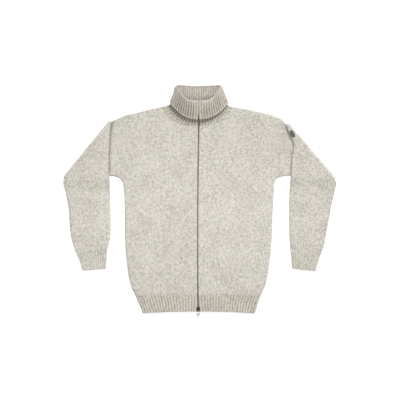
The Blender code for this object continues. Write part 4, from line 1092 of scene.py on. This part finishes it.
class Shader:
    """A material's node tree, with short calls for the nodes used here."""

    def __init__(self, name, **finish):
        self.material = bpy.data.materials.new(name)
        self.material.use_nodes = True
        self.tree = self.material.node_tree
        self.finish(**finish)

    def fill(self, node, inputs):
        for name, value in inputs.items():
            self.put(node.inputs[name.replace("_", " ")], value)

    def finish(self, **inputs):
        self.fill(self.tree.nodes["Principled BSDF"], inputs)
        return self.material

    def put(self, socket, value):
        if isinstance(value, Term):
            self.tree.links.new(value.socket, socket)
        else:
            socket.default_value = (*value, 1.0) if isinstance(value, tuple) else value

    def node(self, kind, output, settings=None, **inputs):
        made = self.tree.nodes.new("ShaderNode" + kind)
        for key, value in (settings or {}).items():
            setattr(made, key, value)
        self.fill(made, inputs)
        return Term(self, made.outputs[output])

    def math(self, kind, *values):
        made = self.tree.nodes.new("ShaderNodeMath")
        made.operation = kind
        for socket, value in zip(made.inputs, values):
            self.put(socket, value)
        return Term(self, made.outputs[0])

    def split(self, vector):
        made = self.tree.nodes.new("ShaderNodeSeparateXYZ")
        self.put(made.inputs[0], vector)
        return Term(self, made.outputs["X"]), Term(self, made.outputs["Y"])

    def noise(self, vector, scale, detail=2.0, roughness=0.5):
        return self.node("TexNoise", "Fac", None, Vector=vector, Scale=scale, Detail=detail,
                         Roughness=roughness)

    def ramp(self, factor, stops):
        colour = self.node("ValToRGB", "Color", None, Fac=factor)
        elements = colour.socket.node.color_ramp.elements
        while len(elements) < len(stops):
            elements.new(0.5)
        for element, (place, shade) in zip(elements, stops):
            element.position, element.color = place, (*shade, 1.0)
        return colour

    def mix(self, factor, first, second, blend="MIX"):
        made = self.tree.nodes.new("ShaderNodeMix")
        made.data_type, made.blend_type = "RGBA", blend
        for number, value in ((0, factor), (6, first), (7, second)):
            self.put(made.inputs[number], value)
        return Term(self, made.outputs[2])

    def bump(self, height, distance, strength=1.0, **under):
        return self.node("Bump", "Normal", None, Height=height, Distance=distance * MM,
                         Strength=strength, **under)


WALE = 4.55 * MM                # width of a knitted stitch
COURSE = 3.5 * MM               # height of a knitted stitch
WAVER, STITCH_SLANT = 0.22, 0.75
LEG_ROUNDNESS, COURSE_ROUNDNESS = 0.6, 0.5
COURSE_SHARE = 0.7              # of a stitch's height that comes from its course
FLECK_SIZE, CLOUD_SIZE, DRIFT_SIZE, FIBRE_SIZE, WAVER_SIZE = 300.0, 100.0, 14.0, 1400.0, 90.0
FLECK_SHARE = 0.66              # of the marl; clouds make up the rest
STITCH_CHANGE = DRIFT_CHANGE = 0.16
# Painted shade: the stitches' grooves darken towards the dark wool by this share
GROOVE_SHARE = 0.22
WOOL_LIGHT, WOOL_DARK = (0.80, 0.77, 0.69), (0.48, 0.45, 0.39)
HEM_LIGHT, HEM_DARK = (0.79, 0.738, 0.656), (0.475, 0.433, 0.372)
# The collar's wool is the body's darkened: painted shade of its ribs and rolled cloth
COLLAR_SHADED_LIGHT, COLLAR_SHADED_DARK = (0.785, 0.72, 0.63), (0.535, 0.48, 0.41)
VALLEY_SHADE = (0.15, 0.125, 0.10)
MARL_STOPS = (0.36, 0.47, 0.55, 0.68)   # of the marl, for dark, middle, light and palest wool
PALEST = 1.08                   # times the light wool
STITCH_RELIEF, FIBRE_RELIEF = (1.1, 0.8), (0.5, 0.6)    # height in mm and strength
THREAD_NOISE, MOTTLE_SIZE = 900.0, 420.0
THREAD_SHADES = (0.6, 1.35)     # times the weave's colour
MOTTLE_ROUGHNESS = 0.15


def knit(shader):
    """Height of plain knitting and a random number for each stitch, from the knit UVs."""
    place = shader.node("UVMap", "UV", {"uv_map": "knit"})
    x, y = shader.split(place)
    across = x / WALE + (shader.noise(place, WAVER_SIZE, 1.0) - 0.5) * WAVER
    leg = (across.of("FRACT") * 2.0 - 1.0).of("ABSOLUTE")
    slanted = y / COURSE + leg * -STITCH_SLANT
    round_leg = (leg * math.pi).of("SINE").of("MAXIMUM", 0.0) ** LEG_ROUNDNESS
    round_course = (slanted.of("FRACT") * math.pi).of("SINE").of("MAXIMUM", 0.0) ** COURSE_ROUNDNESS
    height = round_leg * ((1 - COURSE_SHARE) + round_course * COURSE_SHARE)
    stitch = shader.node("CombineXYZ", "Vector", None, X=(across * 2.0).of("FLOOR"),
                         Y=slanted.of("FLOOR"))
    return height, shader.node("TexWhiteNoise", "Value", {"noise_dimensions": "2D"}, Vector=stitch)


def marled(shader, marl, light, dark):
    middle = tuple((a + b) / 2 for a, b in zip(light, dark))
    palest = tuple(min(1.0, value * PALEST) for value in light)
    return shader.ramp(marl, list(zip(MARL_STOPS, (dark, middle, light, palest))))


def wool(name, light, dark, valley_share=0.0, valley_power=1.3, pale=None):
    """Marled wool: cream yarn with grey-brown flecks, knitted, a little hairy."""
    shader = Shader(name, Roughness=0.92, Sheen_Weight=0.1, Sheen_Roughness=0.6,
                    Specular_IOR_Level=0.25)
    height, random = knit(shader)
    shape = shader.node("TexCoord", "Object")
    marl = (shader.noise(shape, FLECK_SIZE, 2.0, 0.6) * FLECK_SHARE
            + shader.noise(shape, CLOUD_SIZE, 2.0, 0.55) * (1 - FLECK_SHARE)
            + (random - 0.5) * STITCH_CHANGE
            + (shader.noise(shape, DRIFT_SIZE) - 0.5) * DRIFT_CHANGE)
    colour = marled(shader, marl, light, dark)
    # Painted light and shade: the 'pale' mark blends this darkened copy of the wool towards the lit
    # colours given as pale
    if pale is not None:
        paleness = shader.node("Attribute", "Fac", {"attribute_name": "pale"})
        colour = shader.mix(paleness, colour, marled(shader, marl, *pale))
    # Painted shade in the grooves between stitches
    colour = shader.mix((1.0 - height) * GROOVE_SHARE, colour, dark, "MULTIPLY")
    # Painted shade: the 'valley' mark darkens rib valleys, the shadow under the collar's free edge
    # and the right sleeve's fold lines
    if valley_share > 0:
        valley = shader.node("Attribute", "Fac", {"attribute_name": "valley"})
        colour = shader.mix(valley ** valley_power * valley_share, colour, VALLEY_SHADE)
    stitches = shader.bump(height, *STITCH_RELIEF)
    hairs = shader.noise(shape, FIBRE_SIZE, 3.0, 0.7)
    fibres = shader.bump(hairs, *FIBRE_RELIEF, Normal=stitches)
    return shader.finish(Base_Color=colour, Normal=fibres)


def woven(name, colour, thread, contrast):
    """Plain close weave, its threads running along and across the piece."""
    shader = Shader(name, Roughness=0.8)
    place = shader.node("TexCoord", "Object")
    x, y = ((axis * (2 * math.pi / (thread * MM))).of("SINE") for axis in shader.split(place))
    weave = x * y
    tone = weave * contrast + shader.noise(place, THREAD_NOISE)
    dark, light = (tuple(value * share for value in colour) for share in THREAD_SHADES)
    return shader.finish(Base_Color=shader.ramp(tone, [(0.2, dark), (0.8, light)]),
                         Normal=shader.bump(weave, 0.25, 0.8))


def metal(name, colour, roughness, wear):
    """Cast metal with faint mottling and smoother worn places."""
    shader = Shader(name, Metallic=0.9)
    mottle = shader.noise(shader.node("TexCoord", "Object"), MOTTLE_SIZE, 3.0, 0.6)
    worn = tuple(min(1.0, value * wear) for value in colour)
    return shader.finish(Base_Color=shader.ramp(mottle, [(0.35, colour), (0.7, worn)]),
                         Roughness=roughness + mottle * MOTTLE_ROUGHNESS,
                         Normal=shader.bump(mottle, 0.05, 0.5))


body_wool = wool("marled_wool", WOOL_LIGHT, WOOL_DARK)
hem_wool = wool("hem_wool", HEM_LIGHT, HEM_DARK, valley_share=0.4)
# Its 'valley' mark holds only the right sleeve's painted shadow lines
sleeve_wool = wool("sleeve_wool", WOOL_LIGHT, WOOL_DARK, valley_share=0.75)
cuff_wool = wool("cuff_wool", WOOL_LIGHT, WOOL_DARK, valley_share=0.08)
# Shaded copy of the wool, turned paler by the 'pale' mark: painted shade and highlight
collar_wool_painted_shade = wool("collar_wool_painted_shade", COLLAR_SHADED_LIGHT, COLLAR_SHADED_DARK, 0.95, 0.75, (WOOL_LIGHT, WOOL_DARK))
tape_weave = woven("zip_tape_weave", (0.34, 0.31, 0.27), 1.1, 0.25)
patch_weave = woven("patch_weave", (0.13, 0.125, 0.12), 1.4, 0.5)
tooth_metal = metal("tooth_metal", (0.44, 0.41, 0.375), 0.38, 1.4)
slider_metal = metal("slider_metal", (0.03, 0.027, 0.024), 0.5, 1.6)
pull_metal = metal("pull_metal", (0.86, 0.86, 0.84), 0.42, 1.1)


# ------------------------------------------------------------------ the garment
def dress(piece, material, slot, *nodes):
    piece.data.materials.append(material)
    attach(piece, "garment")
    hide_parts(*nodes)
    return piece


pieces = {}
pieces["back"] = dress(make_panel("knit_back", back_borders(), -1), body_wool, "body_knit", "back")
pieces["hem_back"] = dress(make_back_hem(), hem_wool, "rib_knit", "hem_back")
for side in (RIGHT, LEFT):
    word = SIDE_NAMES[side]
    pieces[f"front_{word}"] = dress(make_panel(f"knit_front_{word}", front_borders(side), 1),
                                    body_wool, "body_knit", f"front_{word}")
    pieces[f"hem_front_{word}"] = dress(make_front_hem(side), hem_wool, "rib_knit",
                                        f"hem_front_{word}")
    pieces[f"sleeve_{word}"] = dress(make_sleeve(side), sleeve_wool, "body_knit", f"sleeve_{word}")
    pieces[f"cuff_{word}"] = dress(make_cuff(side), cuff_wool, "rib_knit", f"cuff_{word}")
    pieces[f"tape_{word}"] = dress(make_tape(side), tape_weave, "zip_tape", f"zip_tape_{word}")
pieces["collar"] = dress(make_collar(), collar_wool_painted_shade, "rib_knit", "collar")
pieces["teeth"] = dress(make_teeth(), tooth_metal, "zip_metal", "zip_chain")
pieces["slider"] = dress(make_slider(), slider_metal, "zip_metal", "zip_slider")
pieces["patch"] = dress(make_patch(pieces["sleeve_left"]), patch_weave, "patch", "sleeve_patch")
pieces["pull"] = dress(make_pull(), pull_metal, "pull_metal", "zip_pull")
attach(pieces["pull"], "pull")

# Fields for what a cloth piece was cut or knitted to, in metres and square metres; all round on a
# tube
Cut = namedtuple("Cut", "width length area held rests_on")


# ------------------------------------------------------------------ floor, light and camera
FLOOR_HALF, FLOOR_Z = 12.0, -0.0005
CAMERA_HEIGHT = 6.0
FRAME_WIDTH = 1.4


def make_floor():
    mesh = bpy.data.meshes.new("floor")
    corners = [(x * FLOOR_HALF, y * FLOOR_HALF, FLOOR_Z)
               for x, y in ((-1, -1), (1, -1), (1, 1), (-1, 1))]
    mesh.from_pydata(corners, [], [(0, 1, 2, 3)])
    shader = Shader("floor_white", Roughness=1.0, Emission_Strength=0.78,
                    Base_Color=(0.4, 0.4, 0.4), Emission_Color=(1.0, 1.0, 1.0))
    mesh.materials.append(shader.material)
    floor = add_object("floor", mesh)


def make_light(name, place, size, power):
    data = bpy.data.lights.new(name, "AREA")
    data.shape = "RECTANGLE"
    data.size, data.size_y = size
    data.energy = power
    lamp = add_object(name, data)
    lamp.location = place
    lamp.rotation_euler = (-Vector(place)).to_track_quat("-Z", "Y").to_euler()


make_floor()
make_light("key", (7.0, 15.0, 15.0), (4.5, 4.5), 3750.0)
make_light("fill", (0.0, -0.03, 0.75), (1.6, 0.3), 3.3)
world = bpy.data.worlds.new("studio")
world.use_nodes = True
world.node_tree.nodes["Background"].inputs["Color"].default_value = (1.0, 1.0, 1.0, 1.0)
world.node_tree.nodes["Background"].inputs["Strength"].default_value = 0.325
bpy.context.scene.world = world
bpy.context.scene.view_settings.view_transform = "Standard"

camera_data = bpy.data.cameras.new("camera")
camera_data.lens = camera_data.sensor_width * CAMERA_HEIGHT / FRAME_WIDTH
camera_data.clip_end = 50.0
camera = add_object("camera", camera_data)
camera.location = (CENTRING[0] * MM, CENTRING[1] * MM, CAMERA_HEIGHT)
bpy.context.scene.camera = camera
